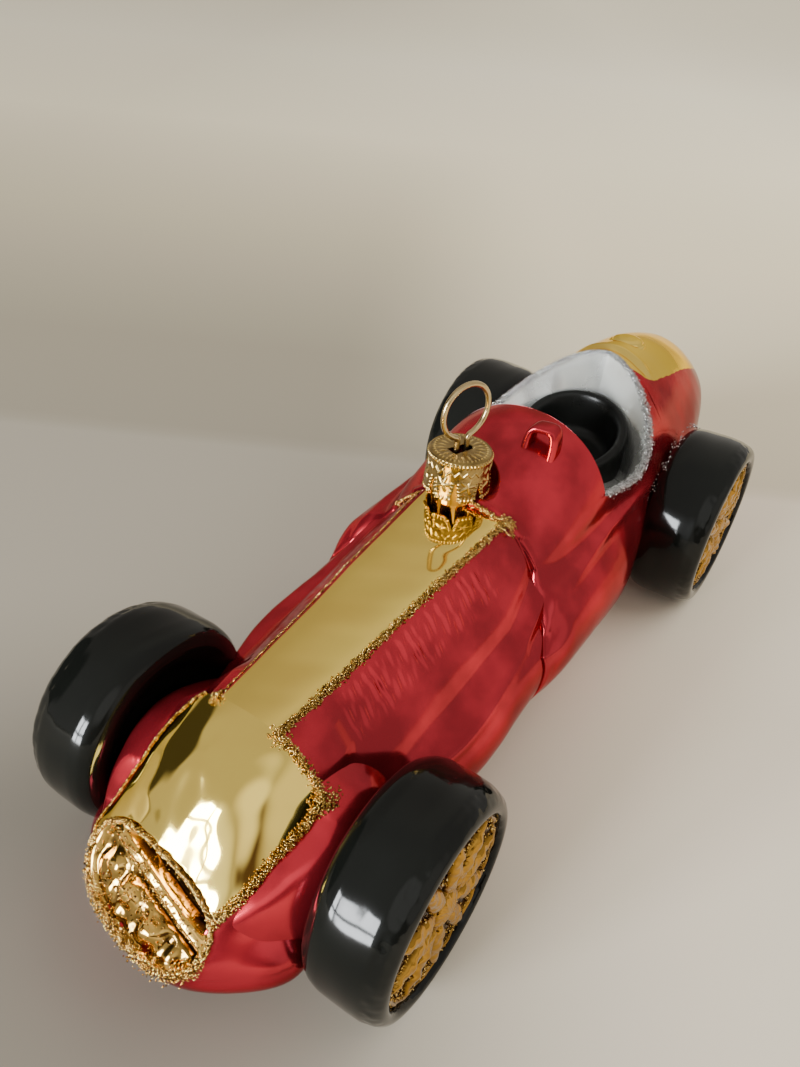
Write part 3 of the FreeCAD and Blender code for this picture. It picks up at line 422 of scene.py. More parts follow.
def mouth_ring(share, turn):
    """Places along and over the mouth, on a ring round it that is a share of its outline."""
    return (share * MOUTH_HALF_WIDTH * signed_power(np.cos(turn), 2 / MOUTH_POWER),
            share * MOUTH_HALF_LENGTH * signed_power(np.sin(turn), 2 / MOUTH_POWER))


def nose_relief(points):
    """The body under the grille is sunk out of its way, inside the mouth's outline; over the cowl the blown
    glass carries stronger waves."""
    front = points @ MOUTH_AXIS > MOUTH_CENTRE @ MOUTH_AXIS - 5.5
    x, y, z = np.moveaxis(points, -1, 0)
    waves = 0.08 * np.sin(0.62 * x + 0.35 * y + 0.5) * np.sin(0.5 * y - 0.4 * z + 1.2)
    waves = waves + 0.035 * np.sin(1.1 * y + 0.7 * x) * np.sin(0.9 * z + 0.8 * y)
    sunk = -3.3 * eased((1.03 - mouth_place(points)) / 0.11 * front)
    return sunk + waves * unit((x - 68.5) / 3) * (z > 12)


def outward_normals(points, closed):
    """Normals of a grid on the body, turned so that they point away from the car's middle line."""
    normal = grid_normals(points, closed)
    away = points * np.array([0.0, 1.0, 1.0]) - np.array([0.0, 0.0, 18.0])
    return normal if (normal * away).sum() > 0 else -normal


def lifted(points, closed, relief):
    """A grid and its normals after the relief has moved it out along them, with the glass's waves added."""
    normal = outward_normals(points, closed)
    ends = unit((89.4 - points[..., 0]) / 3) * unit((points[..., 0] + 89.4) / 3)
    moved = points + normal * (hand_blown(points) * ends + relief(points))[..., None]
    return moved, outward_normals(moved, closed)


def end_wall(ring, share):
    """A flat wall across a form's end: rings drawn in from its edge towards its middle by up to the share."""
    wall = ring[None] + (ring.mean(axis=0) - ring[None]) * np.linspace(0, share, 14)[:, None, None]
    return wall, np.broadcast_to(np.array([1.0, 0.0, 0.0]), wall.shape)


def skin(sections, rows, start, end, count, relief):
    """A band of the body from one round place per station to another, with its relief, and its normals."""
    around = start[:, None] + (end - start)[:, None] * np.linspace(0, 1, count)
    return lifted(blown_surface(sections, rows, around), False, relief)


def below_line(line):
    """A test for crossing: how far a point lies below a line of heights along the car."""
    return lambda points: np.interp(points[..., 0], *line) - points[..., 2]


rows_back = np.linspace(COWL_REAR, COWL_TIP, 70)
edge = crossing(nose_sections, rows_back, below_line(COWL_RIGHT))
left_edge = crossing(nose_sections, rows_back, below_line(COWL_LEFT))
nose_count = 2 * (len(nose_sections[0][1]) - 1)
cowl_skin = skin(nose_sections, rows_back, -edge, left_edge, 180, nose_relief)
nose_cowl = glass_mesh("cowl_skin", [cowl_skin], gold_lacquer)
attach(nose_cowl, "glass_body")
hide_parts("nose_cowl")

pan_skin = skin(nose_sections, rows_back, left_edge, nose_count - edge, 190, nose_relief)
rows_front = NOSE_TIP - (NOSE_TIP - COWL_TIP) * np.linspace(1, 0, 46) ** 2
tip_grid = blown_surface(nose_sections, rows_front, np.tile(np.linspace(0, nose_count, 260), (46, 1)))
tip_skin = lifted(tip_grid, True, nose_relief)
nose_pan = glass_mesh("pan_skin", [pan_skin, tip_skin, end_wall(tip_skin[0][-1], 1.0)], ruby_lacquer)
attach(nose_pan, "glass_body")
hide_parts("nose_pan")


# Grille: the gold mouth of the nose, moulded with a bar under its top edge, ribs and a blank oval boss
def nose_over(along, over):
    """Point of the nose's skin over each place of the mouth, by Newton steps on station and round place."""
    across = MOUTH_SHIFT + along * MOUTH_COS - over * MOUTH_SIN
    down = MOUTH_SHIFT + along * MOUTH_SIN + over * MOUTH_COS
    station = np.full(across.shape, 83.0)
    around = across / 4.5
    flat = lambda s, a: blown_surface(nose_sections, s.ravel(), a.reshape(-1, 1)).reshape(*across.shape, 3)
    for _ in range(12):
        here = flat(station, around)
        by_station = (flat(station + 0.02, around) - here) / 0.02
        by_around = (flat(station, around + 0.002) - here) / 0.002
        off = here - MOUTH_CENTRE
        miss_across, miss_down = off[..., 1] - across, off @ MOUTH_DOWN - down
        a, b = by_station[..., 1], by_around[..., 1]
        c, d = by_station @ MOUTH_DOWN, by_around @ MOUTH_DOWN
        scale = a * d - b * c
        scale = np.where(np.abs(scale) < 1e-6, 1e-6, scale)
        step_station = (d * miss_across - b * miss_down) / scale
        step_around = (a * miss_down - c * miss_across) / scale
        station = np.clip(station - np.clip(step_station, -1, 1), 70, 89.9)
        around = around - np.clip(step_around, -0.4, 0.4)
    return flat(station, around)


def gold_with_painted_hollow_shade(name, colour, hollow_shade, roughness):
    """Gold metal or lacquer with painted shade in its hollows: the mesh's attribute raised mixes the gold with a
    dark brown shade colour, and a cloud breaks the painted shade up unevenly."""
    gold, tree, shader = new_material(name)
    height = add_node(tree, "ShaderNodeAttribute", {}, attribute_name="raised").outputs["Fac"]
    cloud = clouds(tree, 600, 3)
    # painted shade: the lower the relief, the more the colour turns to the dark hollow colour, broken up by the
    # cloud
    shift = add_node(tree, "ShaderNodeMath", {0: height, 1: 0.35}, operation="SUBTRACT").outputs["Value"]
    hollow_shade_share = add_node(tree, "ShaderNodeMath", {0: cloud, 1: 0.7, 2: shift}, operation="MULTIPLY_ADD")
    feed(tree, shader, {
        "Metallic": 1.0, "Roughness": roughness,
        "Base Color": toned(tree, hollow_shade_share.outputs["Value"], (0, hollow_shade), (0.75, colour)),
        "Normal": bumped(tree, cloud, 0.05)})
    return gold


def grille_relief(along, over, radius):
    """Depth in mm: a sunk floor inside a smooth rim; a thick ridge bar with a groove on each side; below it
    ribs half lost in lumps of glass, and three round bosses."""
    ridge = over + 2.5 - 0.15 * along
    bar = np.exp(-ridge ** 4) * 1.35
    grooves = -0.8 * bell(ridge + 1.75, 0.42) - 0.9 * bell(ridge - 1.65, 0.5) * unit((along + 3.5) / 2)
    below = unit((ridge - 2.0) / 0.8)
    ribs = 0.12 * np.cos(along * 2 * np.pi / 2.3 + 0.5 * np.sin(over)) * below
    lumps = 0.26 * np.sin(1.1 * along + 0.8) * np.sin(1.3 * over + 0.5 * along)
    top = bar
    for at_along, at_over, wide, high in ((-1.9, 1.3, 1.35, 1.5), (3, 2.6, 1.5, 1.1), (-5.6, 0.4, 1.2, 0.9)):
        far = np.hypot(along - at_along, over - at_over) / wide
        top = np.maximum(top, high * np.exp(-far ** 3))
    return eased((1.0 - radius) / 0.14) * (top - 1.25 + grooves + ribs + lumps * (0.35 + 0.65 * below))


ring_share = np.linspace(0.02, 1.06, 90)[:, None]
mouth_along, mouth_over = mouth_ring(ring_share, np.linspace(0, 2 * np.pi, 300)[None, :])
grille_base = nose_over(mouth_along, mouth_over)
grille_depth = grille_relief(mouth_along, mouth_over, ring_share)
grille_rise = grille_depth + 0.05 - 0.3 * unit((ring_share - 1) / 0.06)
grille_points = grille_base + MOUTH_AXIS * grille_rise[..., None]
# the grille's hollows carry painted shade in near-black brown, deepest where the relief is lowest
grille_gold = gold_with_painted_hollow_shade("grille_gold", (0.85, 0.54, 0.14), (0.10, 0.045, 0.01), 0.12)
grille = glass_mesh("grille_skin", [rounded(grille_points, -1)], grille_gold)
# the relief height that places the painted shade in the grille's hollows
mark_points(grille, "raised", unit((grille_depth + 1.75) / 1.5))
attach(grille, "glass_body")
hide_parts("grille")


# Bonnet: red glass with moulded louvres down both flanks and a small block beside the cowl
bonnet_sections = [
    (67.5, [(0, 32.7), (4, 32.7), (5.2, 32), (8.2, 28.2), (11.5, 24),
        (13.4, 20.6), (15, 17.4), (16.6, 13), (16.2, 7.5), (13.6, 3.4), (0, 4.2)]),
    (56, [(0, 33.5), (4.6, 33.3), (5.8, 32.6), (9, 28.5), (12.2, 24.6),
        (14, 21.8), (15.8, 19.2), (17.1, 14.4), (16.6, 8), (13.8, 3.6), (0, 4.2)]),
    (44, [(0, 34.9), (5.4, 34.9), (6.7, 34.2), (10, 29.8), (13, 25.6),
        (14.8, 22.8), (19.4, 21.4), (21.8, 15.6), (19.8, 8.4), (14.8, 3.8), (0, 4.2)]),
    (31, [(0, 36.2), (6.3, 36.2), (7.6, 35.4), (11.2, 30.6), (14.4, 26.2),
        (16.2, 23), (19.8, 21.6), (21.2, 16), (19.2, 8.6), (14.6, 4), (0, 4.3)]),
    (22, [(0, 37.2), (6.8, 37.1), (8.2, 36.2), (12, 31.2), (15.8, 26.4),
        (18, 23.4), (20.6, 21), (20.9, 16), (18.6, 9), (14.2, 4.4), (0, 4.5)]),
    (17, [(0, 37.6), (7, 37.5), (8.4, 36.5), (12.4, 31.4), (16.6, 26.6),
        (19, 23.6), (21.4, 21), (21.3, 16), (18.6, 9), (14.2, 4.6), (0, 4.6)]),
]
FIREWALL = 17.0
STRIP_EDGE = ((FIREWALL, COWL_REAR), (7.1, 4.6))
CREASE = ((-34, -5, 17, 26, 45, 60), (28, 29.3, 27.5, 23.5, 20, 18))


def flank_crease(points):
    """In mm: a rounded fold that runs along the flank, with a shallow trough above it."""
    x, y, z = np.moveaxis(points, -1, 0)
    over = z - np.interp(x, *CREASE)
    fade = unit((60 - x) / 6) * unit((x + 34) / 10) * unit((np.abs(y) - 9) / 3)
    return (0.5 * bell(over, 0.9) - 0.55 * bell(over - 2.4, 1.6)) * fade


def louvre_relief(points):
    """In mm: worn louvres of uneven pitch below the strip's edge on each side, and a block behind the cowl."""
    x, y, z = np.moveaxis(points, -1, 0)
    down = np.abs(y) - np.interp(x, *STRIP_EDGE)
    band = unit((down - 0.9) / 0.7) * unit((5.6 - down) / 1.2) * (z > 20)
    lengthwise = unit(58.4 - x) * unit((x - 24.0) / 1.5)
    rib = np.sin(3.6 * x + 0.5 * down + 1.3 * np.sin(0.6 * x))
    rib = rib * (0.75 + 0.4 * np.sin(0.83 * x + 0.9 * down))
    rib = rib + 0.5 * np.sin(5.3 * x - 1.1 * down + 1.7) * np.sin(0.5 * x + 1.4 * down)
    block = unit((x - 58.0) / 3.6) * unit((down - 0.6) / 1.8) * unit((6.4 - down) / 1.6) * (z > 20)
    return 0.1 * rib * band * lengthwise + 0.8 * eased(block) + flank_crease(points)


bonnet_rows = np.linspace(COWL_REAR, FIREWALL, 270)
bonnet_count = 2 * (len(bonnet_sections[0][1]) - 1)
strip_edge = crossing(bonnet_sections, bonnet_rows,
                      lambda points: points[..., 1] - np.interp(points[..., 0], *STRIP_EDGE))
bonnet_skin = skin(bonnet_sections, bonnet_rows, strip_edge, bonnet_count - strip_edge, 330, louvre_relief)
bonnet = glass_mesh("bonnet_skin", [bonnet_skin], ruby_lacquer)
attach(bonnet, "glass_body")
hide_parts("bonnet")

# Strip: the pale gold band painted along the top of the bonnet
strip_skin = skin(bonnet_sections, bonnet_rows, -strip_edge, strip_edge, 90, louvre_relief)
strip = glass_mesh("strip_skin", [strip_skin], gold_lacquer)
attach(strip, "glass_body")
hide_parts("bonnet_strip")


# Rear of the body: the domed scuttle, the shoulders round the cockpit and the long tail, all red
rear_sections = [
    (17, [(0, 38.4), (5, 38.2), (9.5, 35.4), (13.3, 31), (16.6, 27.4),
        (20.4, 25.4), (22.6, 21.4), (22, 15.4), (18.8, 8.6), (14.4, 4.6), (0, 4.6)]),
    (14, [(0, 39.4), (5, 39.2), (9.8, 36.8), (13.6, 32.5), (16.6, 28.2),
        (20.6, 26), (23, 21.8), (22.2, 15.4), (18.8, 8.6), (14.4, 4.6), (0, 4.6)]),
    (9, [(0, 41.8), (5.2, 41.4), (10.4, 38.8), (14, 34.4), (16.2, 29.4),
        (20, 26.4), (23.2, 22), (22.4, 15.4), (18.8, 8.6), (14.4, 4.6), (0, 4.6)]),
    (1, [(0, 46.8), (5.8, 46.2), (11.6, 42.2), (15, 36), (16.4, 29.8),
        (19.6, 26.4), (23.2, 22.2), (22.6, 15.6), (18.8, 8.6), (14.4, 4.6), (0, 4.6)]),
    (-9, [(0, 45.4), (6, 44.6), (12, 41), (15.8, 35.4), (16.8, 29.8),
        (19.2, 26.2), (22.6, 22), (22.4, 15.6), (18.8, 8.6), (14.4, 4.8), (0, 4.8)]),
    (-20, [(0, 45), (6, 44), (11.6, 40.4), (15.8, 35), (17, 29.6),
        (18.3, 25.4), (19.4, 21), (19.2, 15.6), (17.6, 9), (13.6, 5), (0, 5)]),
    (-31, [(0, 46), (5.6, 44.6), (10.8, 40.6), (15.4, 34.6), (16.8, 29),
        (17.6, 24.6), (18, 20), (17.8, 15.4), (16, 9.6), (12.4, 5.4), (0, 5.2)]),
    (-42, [(0, 46.8), (5, 45), (9.8, 40.6), (14.2, 34), (16.2, 28.4),
        (17, 24), (17.2, 19.4), (16.8, 15), (15, 9.8), (11.6, 6), (0, 5.6)]),
    (-54, [(0, 45.2), (5, 43.4), (9.8, 39.4), (13.8, 33.4), (15.6, 28),
        (16.4, 23.6), (16.4, 19.2), (15.8, 15), (14, 10.4), (10.8, 7), (0, 6.4)]),
    (-66, [(0, 41.6), (4.8, 40.2), (9.2, 36.8), (12.6, 31.8), (14.2, 27.2),
        (14.8, 23.2), (14.6, 19.2), (13.8, 15.6), (12.2, 11.6), (9.2, 8.6), (0, 7.8)]),
    (-77, [(0, 36.4), (4, 35.4), (7.6, 32.8), (10.2, 29.2), (11.6, 26),
        (12.1, 22.8), (11.9, 19.6), (11.1, 16.6), (9.6, 13.4), (7.2, 11), (0, 10)]),
    (-85.5, [(0, 30.4), (2.8, 29.9), (5.2, 28.2), (7, 26), (7.8, 24),
        (8, 21.9), (7.8, 19.7), (7.2, 17.6), (6.1, 15.5), (4.4, 13.9), (0, 13.2)]),
    (-89.4, [(0, 25.8), (1.6, 25.5), (3, 24.6), (4, 23.5), (4.3, 22.6),
        (4.4, 21.5), (4.3, 20.3), (3.9, 19.1), (3.2, 17.9), (2.3, 17), (0, 16.6)]),
    (-90, [(0, 22.6), (0.5, 22.55), (0.9, 22.3), (1.2, 21.95), (1.3, 21.6),
        (1.3, 21.2), (1.25, 20.8), (1.1, 20.4), (0.85, 20.1), (0.5, 19.85), (0, 19.8)]),
]
TAIL_END = -90.0
COCKPIT_FRONT, COCKPIT_REAR = -4.4, -35.8
COCKPIT_LENGTH = COCKPIT_FRONT - COCKPIT_REAR
COCKPIT_HALF = 15.3
NECK = np.array([15.2, -3.0])
STEP = ((3, 6, 15, 20, 25, 28, 30, 33, 35), (0, 0.6, 1, 1.7, 3, 1.8, 1, 0.5, 0))
PANEL_EDGE = ((-90, -87, -83, -76, -66, -50, -40.5, -37.6, -35.8), (3, 4.6, 7, 8.6, 9.4, 9.4, 8.8, 7.6, 5.2))


def rim_half(x):
    """Half-width of the cockpit's rim at x: a slow sine swell times a power curve that closes at the rear."""
    along = unit((COCKPIT_FRONT - x) / COCKPIT_LENGTH)
    return COCKPIT_HALF * (1 + 0.06 * np.sin(np.pi * along)) * (1 - along ** 5.5) ** 0.74


def firewall_lean(z):
    """How far, in mm, the hull's front edge runs ahead of the firewall where it comes down the flank."""
    return 6.5 * unit((31 - z) / 9)


def scuttle_relief(points):
    """In mm: a dent under the cap's skirt, a thin lip along the firewall where the hull draws in to the bonnet,
    and a groove and lip across the tail behind the cockpit's point."""
    x, y, z = np.moveaxis(points, -1, 0)
    from_neck = np.hypot(x - NECK[0], y - NECK[1])
    dent = np.clip(z - 38.5, 0, 9) * unit((6.6 - from_neck) / 1.2) * (z > 30)
    lean = firewall_lean(z)
    lip = 0.14 * bell(x - 16.3 - lean, 0.45) + 0.25 * bell(x - 16.0, 0.7) * (z > 35)
    step = 0.93 * np.interp(z, *STEP) * unit((x - 16.5) / (0.5 + lean)) ** 2
    over_tail = unit((8.5 - np.abs(y)) / 3) * (z > 36)
    collar = (0.55 * bell(x + 40.2, 0.6) - 0.7 * bell(x + 38.9, 0.55)) * over_tail
    return lip - dent - step + flank_crease(points) + collar


def cord(path, normals, radius):
    """A thin round cord along a path: a circle of the given radius set across it at each point."""
    side = np.cross(np.gradient(path, axis=0), normals)
    side /= np.linalg.norm(side, axis=1, keepdims=True)
    turn = np.linspace(0, 2 * np.pi, 11)[None, :, None]
    ring = normals[:, None, :] * np.cos(turn) + side[:, None, :] * np.sin(turn)
    return path[:, None, :] + radius * ring, ring


SCUTTLE_COLUMNS = 330
scuttle_rows = np.linspace(FIREWALL, COCKPIT_FRONT, 105)
rear_count = 2 * (len(rear_sections[0][1]) - 1)
scuttle_round = np.tile(np.linspace(0, rear_count, SCUTTLE_COLUMNS), (len(scuttle_rows), 1))
scuttle_grid = blown_surface(rear_sections, scuttle_rows, scuttle_round)
scuttle_grid[..., 0] += firewall_lean(scuttle_grid[..., 2]) * unit((scuttle_grid[..., 0] - 8) / 9) ** 2
scuttle_skin = lifted(scuttle_grid, True, scuttle_relief)
front_ring, front_normals = scuttle_skin[0][0], scuttle_skin[1][0]
cockpit_rows = COCKPIT_FRONT - COCKPIT_LENGTH * np.sin(np.linspace(0, np.pi / 2, 110))
rim_edge = crossing(rear_sections, cockpit_rows, lambda points: points[..., 1] - rim_half(points[..., 0]))
shoulder_skin = skin(rear_sections, cockpit_rows, rim_edge, rear_count - rim_edge, 280, scuttle_relief)
tail_rows = COCKPIT_REAR + (TAIL_END - COCKPIT_REAR) * np.sin(np.linspace(0, np.pi / 2, 130))
panel_edge = crossing(rear_sections, tail_rows,
                      lambda points: points[..., 1] - np.interp(points[..., 0], *PANEL_EDGE))
jagged = 0.012 * np.sin(tail_rows * 1.9) + 0.01 * np.sin(tail_rows * 4.3 + 1)
panel_edge = panel_edge + jagged * unit((tail_rows + 89) / 4)
tail_skin = skin(rear_sections, tail_rows, panel_edge, rear_count - panel_edge, 230, scuttle_relief)

# the front edge is closed by a short wall inwards and rounded by a thin cord, except under the belly
seam_turn = np.flatnonzero(front_ring[:, 2] > 6)
seam_turn = np.roll(seam_turn, -int(np.argmax(np.diff(seam_turn) > 1)) - 1)
seam = cord(front_ring[seam_turn], front_normals[seam_turn], 0.22)
front_lip = front_ring[None] - front_normals[None] * np.linspace(0, 1.6, 8)[:, None, None]
front_lip = (front_lip, np.broadcast_to(np.array([1.0, 0.0, 0.0]), front_lip.shape))
hull = glass_mesh("hull_skin", [scuttle_skin, seam, front_lip, shoulder_skin, tail_skin,
                                end_wall(front_ring, 0.35)], ruby_lacquer)
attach(hull, "glass_body")
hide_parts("hull")

# Tail panel: gold lacquer over the top of the tail, from the cockpit's point to the end
panel_skin = skin(rear_sections, tail_rows, -panel_edge, panel_edge, 90, scuttle_relief)
tail_top = glass_mesh("tail_panel_skin", [panel_skin], gold_lacquer)
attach(tail_top, "glass_body")
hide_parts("tail_top")


# Scoop: a small arched air intake moulded on the scuttle, open to the front
def scoop_arch():
    """An inverted U carried backwards: a half-round section swept over an arch, its feet sunk in the dome."""
    turn = np.linspace(0, np.pi, 48)[:, None]
    round_wall = np.linspace(0, 2 * np.pi, 28)[None, :]
    arch_y = 2.15 * signed_power(np.cos(turn), 0.5)
    arch_z = 5.1 * np.abs(np.sin(turn)) ** 0.55
    thick = 0.7 * signed_power(np.sin(round_wall), 0.8)
    along = 3.5 + 1.7 * signed_power(np.cos(round_wall), 0.6) - 0.12 * arch_z
    across = arch_y + thick * np.cos(turn)
    return np.stack([along - 0.2 * across, 5.2 + across, 42.0 + arch_z + thick * np.sin(turn)], axis=-1)


arch = glass_mesh("scoop_skin", [rounded(scoop_arch())], ruby_lacquer)
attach(arch, "glass_body")


# Cockpit: the silvered inside of the bubble, showing where the red lacquer stops at the rim
silver_glass = mirror_lacquer("silver_glass", (0.86, 0.875, 0.85), 0.28, 0.06, 0.05, 0.3, 0.75)
rim_left = blown_surface(rear_sections, cockpit_rows, rim_edge[:, None])[:, 0]
rim_right = rim_left[::-1][1:] * np.array([1, -1, 1])
front_round = rim_edge[0] * np.linspace(-1, 1, 60)[1:-1]
front_line = blown_surface(rear_sections, np.array([COCKPIT_FRONT]), front_round[None, :])[0]
rim_line = np.concatenate([rim_left, rim_right, front_line, rim_left[:1]])
TUB_MIDDLE = np.array([-21.5, 0.0, 27.0])


def tub_wall(rim, middle):
    """From the rim down: each rim point first slopes in as far as the seat, more so at the sides, then drops
    beside it by a smooth step, and runs level over the floor to the middle; the last rows wave a little."""
    share = np.linspace(0, 1, 60)[:, None]
    beside = unit(np.abs(rim[None, :, 1]) / 9)
    slope = np.minimum(share / 0.35, 1)
    inward = (0.03 + 0.1 * beside) * slope + 0.04 * eased((share - 0.35) / 0.2)
    inward = inward + (1 - inward) * eased((share - 0.56) / 0.44)
    down = (0.62 - 0.2 * beside) * slope
    down = down + (1 - down[-1]) * eased((share - 0.3) / 0.24)
    points = rim[None] + (middle - rim[None]) * np.stack([inward, inward, down], axis=-1)
    wave = 0.12 * np.sin(points[..., 1] * 0.9 + points[..., 2] * 0.6) * share
    return points + wave[..., None]


tub = glass_mesh("cockpit_skin", [rounded(tub_wall(rim_line, TUB_MIDDLE), -1)], silver_glass)
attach(tub, "glass_body")
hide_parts("cockpit_tub")


# Seat: a black-lacquered horseshoe bolster that falls to the front, round a dished cushion
def mottled(name, scale, detail, low, high, roughness, rise, constants):
    """Enamel or metal whose colour runs between two tones, and its roughness between two values, with a cloud
    that also raises it a little, in mm; the constants are the shader's own."""
    surface, tree, shader = new_material(name)
    cloud = clouds(tree, scale, detail)
    feed(tree, shader, {
        **constants, "Base Color": mixed(tree, cloud, low, high),
        "Roughness": mapped(tree, cloud, 0, 1, *roughness), "Normal": bumped(tree, cloud, rise)})
    return surface


def black_gloss(name, colour, roughness):
    """Thick black enamel over glass: nearly black, a clear gloss, and faint slow waves."""
    low, high = (tuple(c * share for c in colour) for share in (0.6, 1.5))
    return mottled(name, 110, 4, low, high, (roughness * 0.6, roughness * 1.5), 0.04,
                   {"Specular IOR Level": 0.24})


black_enamel = black_gloss("black_enamel", (0.004, 0.0045, 0.0038), 0.09)
seat_enamel = black_gloss("seat_enamel", (0.006, 0.0065, 0.006), 0.3)
SEAT_X, SEAT_HALF = -25.2, 10.5
SEAT_SHARE = (0, 0.22, 0.34, 0.44, 0.54, 0.64, 0.78, 1)
SEAT_REACH = (1, 1, 0.985, 0.90, 0.80, 0.765, 0.72, 0)
SEAT_RISE = (0, 0.72, 0.93, 1, 0.93, 0.62, 0.16, 0)


def seat_surface():
    """Rings from the foot outside, over the rounded bolster, down into the dished cushion; the bolster's height
    falls from the back to the front with the cosine of the turn."""
    turn = np.linspace(0, 2 * np.pi, 180)[None, :]
    share = np.linspace(0, 1, 70)

    def profile(heights):
        line = np.interp(share, SEAT_SHARE, heights)
        inner = np.convolve(np.pad(line, 3, mode="edge"), np.ones(7) / 7, "valid")[1:-1]
        return np.concatenate([line[:1], inner, line[-1:]])[:, None]

    back = 0.5 - 0.5 * np.cos(turn)
    reach, top = profile(SEAT_REACH), 29.0 + 9.2 * back ** 0.75
    low = 25.6 + 2.4 * unit((share[:, None] - 0.5) / 0.2)
    x = SEAT_X + (9.4 + 0.3 * back) * reach * np.cos(turn)
    return np.stack([x, SEAT_HALF * reach * np.sin(turn), low + (top - low) * profile(SEAT_RISE)], axis=-1)


seat = glass_mesh("seat_skin", [rounded(seat_surface())], seat_enamel)
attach(seat, "glass_body")
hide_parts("seat")


# Filler cap: a low gold dome with a rolled band, moulded on the tail behind the cockpit
def turned_surface(profile, count):
    """A profile of radius and height turned once round its own axis, as (steps, count, 3)."""
    turn = np.linspace(0, 2 * np.pi, count)[None, :]
    radius, height = profile[:, :1], profile[:, 1:2]
    return np.stack([radius * np.cos(turn), radius * np.sin(turn), height + 0 * turn], axis=-1)


def smooth_profile(corners, steps):
    """The straight runs between the corners, sampled evenly and averaged over a short reach to round them."""
    corners = np.array(corners, float)
    length = np.concatenate([[0], np.cumsum(np.hypot(*np.diff(corners, axis=0).T))])
    at = np.linspace(0, length[-1], steps)
    line = np.stack([np.interp(at, length, corners[:, k]) for k in (0, 1)], axis=-1)
    reach = 2
    padded = np.pad(line, ((reach, reach), (0, 0)), mode="reflect", reflect_type="odd")
    return sum(padded[k:k + steps] for k in range(2 * reach + 1)) / (2 * reach + 1)


FILLER_FOOT = np.array([-46.4, 0, 44.2])
filler_corners = [(3.3, -1.6), (3.7, 0), (3.7, 0.7), (3.1, 0.9), (2.9, 1.4), (2, 1.75), (0, 1.9)]
filler_points = turned_surface(smooth_profile(filler_corners, 60), 120) + FILLER_FOOT
filler = glass_mesh("filler_skin", [rounded(filler_points)], gold_lacquer)
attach(filler, "glass_body")
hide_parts("filler_cap")


# Tyres and wheel discs: four lobes of the same bubble, dipped in black enamel, with a crowned tread, a crimped
# outer shoulder and a dish for a gold disc of ten petals in relief
def tyre_surface(radius, width, disc_radius):
    """The tyre's section turned round its axle; near the outer shoulder the radius carries two fine ripples and
    small hand-worked unevenness that changes slowly with the turn."""
    corners = [(6.4, -width + 0.5), (radius * 0.6, -width + 0.05), (radius - 4.4, -width - 0.7),
               (radius - 2.4, -width - 1.1), (radius - 1.1, -width - 0.4), (radius - 0.35, -width + 0.8),
               (radius - 0.05, -width * 0.8), (radius, -width * 0.42),
               (radius - 0.15, -2.6), (radius - 0.55, -1.7), (radius - 0.45, -1.45), (radius - 0.95, -0.7),
               (radius - 1.5, -0.12), (radius - 2.0, 0.0), (disc_radius + 0.2, -0.02), (disc_radius - 0.1, -0.5),
               (disc_radius - 0.2, -2.4)]
    profile = smooth_profile(corners, 110)
    points = turned_surface(profile, 260)
    turn = np.linspace(0, 2 * np.pi, 260)[None, :]
    reach, height = profile[:, :1], profile[:, 1:2]
    shoulder = unit((height + 2.6) / 0.5) * unit((-0.1 - height) / 0.3)
    ripples = 0.03 * np.sin(turn * 31 + height * 2) + 0.04 * np.sin(turn * 13 + 1.3)
    ripples = ripples + 0.012 * np.sin(turn * 67)
    waves = 0.05 * np.sin(turn * 3 + height * 0.4) + 0.04 * np.sin(turn * 7 + height * 0.9 + 2)
    tread = unit((reach - radius * 0.7) / 1.5)
    scale = 1 - np.abs(ripples * shoulder + (waves + 0.09) * tread * 0.7) / np.maximum(reach, 1)
    points[..., :2] *= scale[..., None]
    return points


def stood(points, axle, radius, face, side):
    """Turns a piece from its own axis onto the axle: its axis points outwards along the car's left or right."""
    x, y, z = np.moveaxis(points, -1, 0)
    return np.stack([axle + x, side * (face + z), radius + y], axis=-1)


PETAL_STEP = 2 * np.pi / 10


def from_petal(turn, start):
    """Turn from the middle of the nearest petal."""
    return (turn + start + PETAL_STEP / 2) % PETAL_STEP - PETAL_STEP / 2


def disc_surface(disc_radius, start):
    """A shallow dish: ten pointed petals in relief round a domed boss, with a raised rim; heights in mm over the
    dish's floor as a function of radius and turn."""
    turn = np.linspace(0, 2 * np.pi, 440)[None, :]
    radius = np.linspace(0, 1, 120)[:, None] ** 0.9 * (disc_radius + 0.1)
    along = unit((radius - 2.6) / (disc_radius - 3.6))
    half = 1.4 * np.sin(np.pi * along ** 0.8) ** 0.8 + 0.02
    aside = np.abs(radius * np.sin(from_petal(turn, start))) / half
    petal = 1.2 * np.sqrt(unit(1.02 - aside ** 2)) * np.sin(np.pi * along) ** 0.35
    boss = 1.35 * np.sqrt(unit(1 - (radius / 2.7) ** 2))
    rings = np.maximum(0.5 * bell(radius - 3.2, 0.45), 0.55 * bell(radius - disc_radius + 0.7, 0.5))
    lumps = 0.14 * np.sin(radius * 2.3 + 3 * turn) * np.sin(turn * 11 + start)
    lumps = lumps + 0.06 * np.sin(radius * 4.9 + 2 * turn) * np.sin(turn * 23 + 2 * start)
    height = np.minimum(np.maximum(np.maximum(petal, boss), rings) - 1.35 + lumps * unit(radius / 4), 0.1)
    return np.stack([radius * np.cos(turn), radius * np.sin(turn), height], axis=-1)


# the discs' hollows between the petals carry painted shade in dark brown
disc_gold = gold_with_painted_hollow_shade("disc_gold", (0.42, 0.22, 0.035), (0.035, 0.014, 0.004), 0.12)
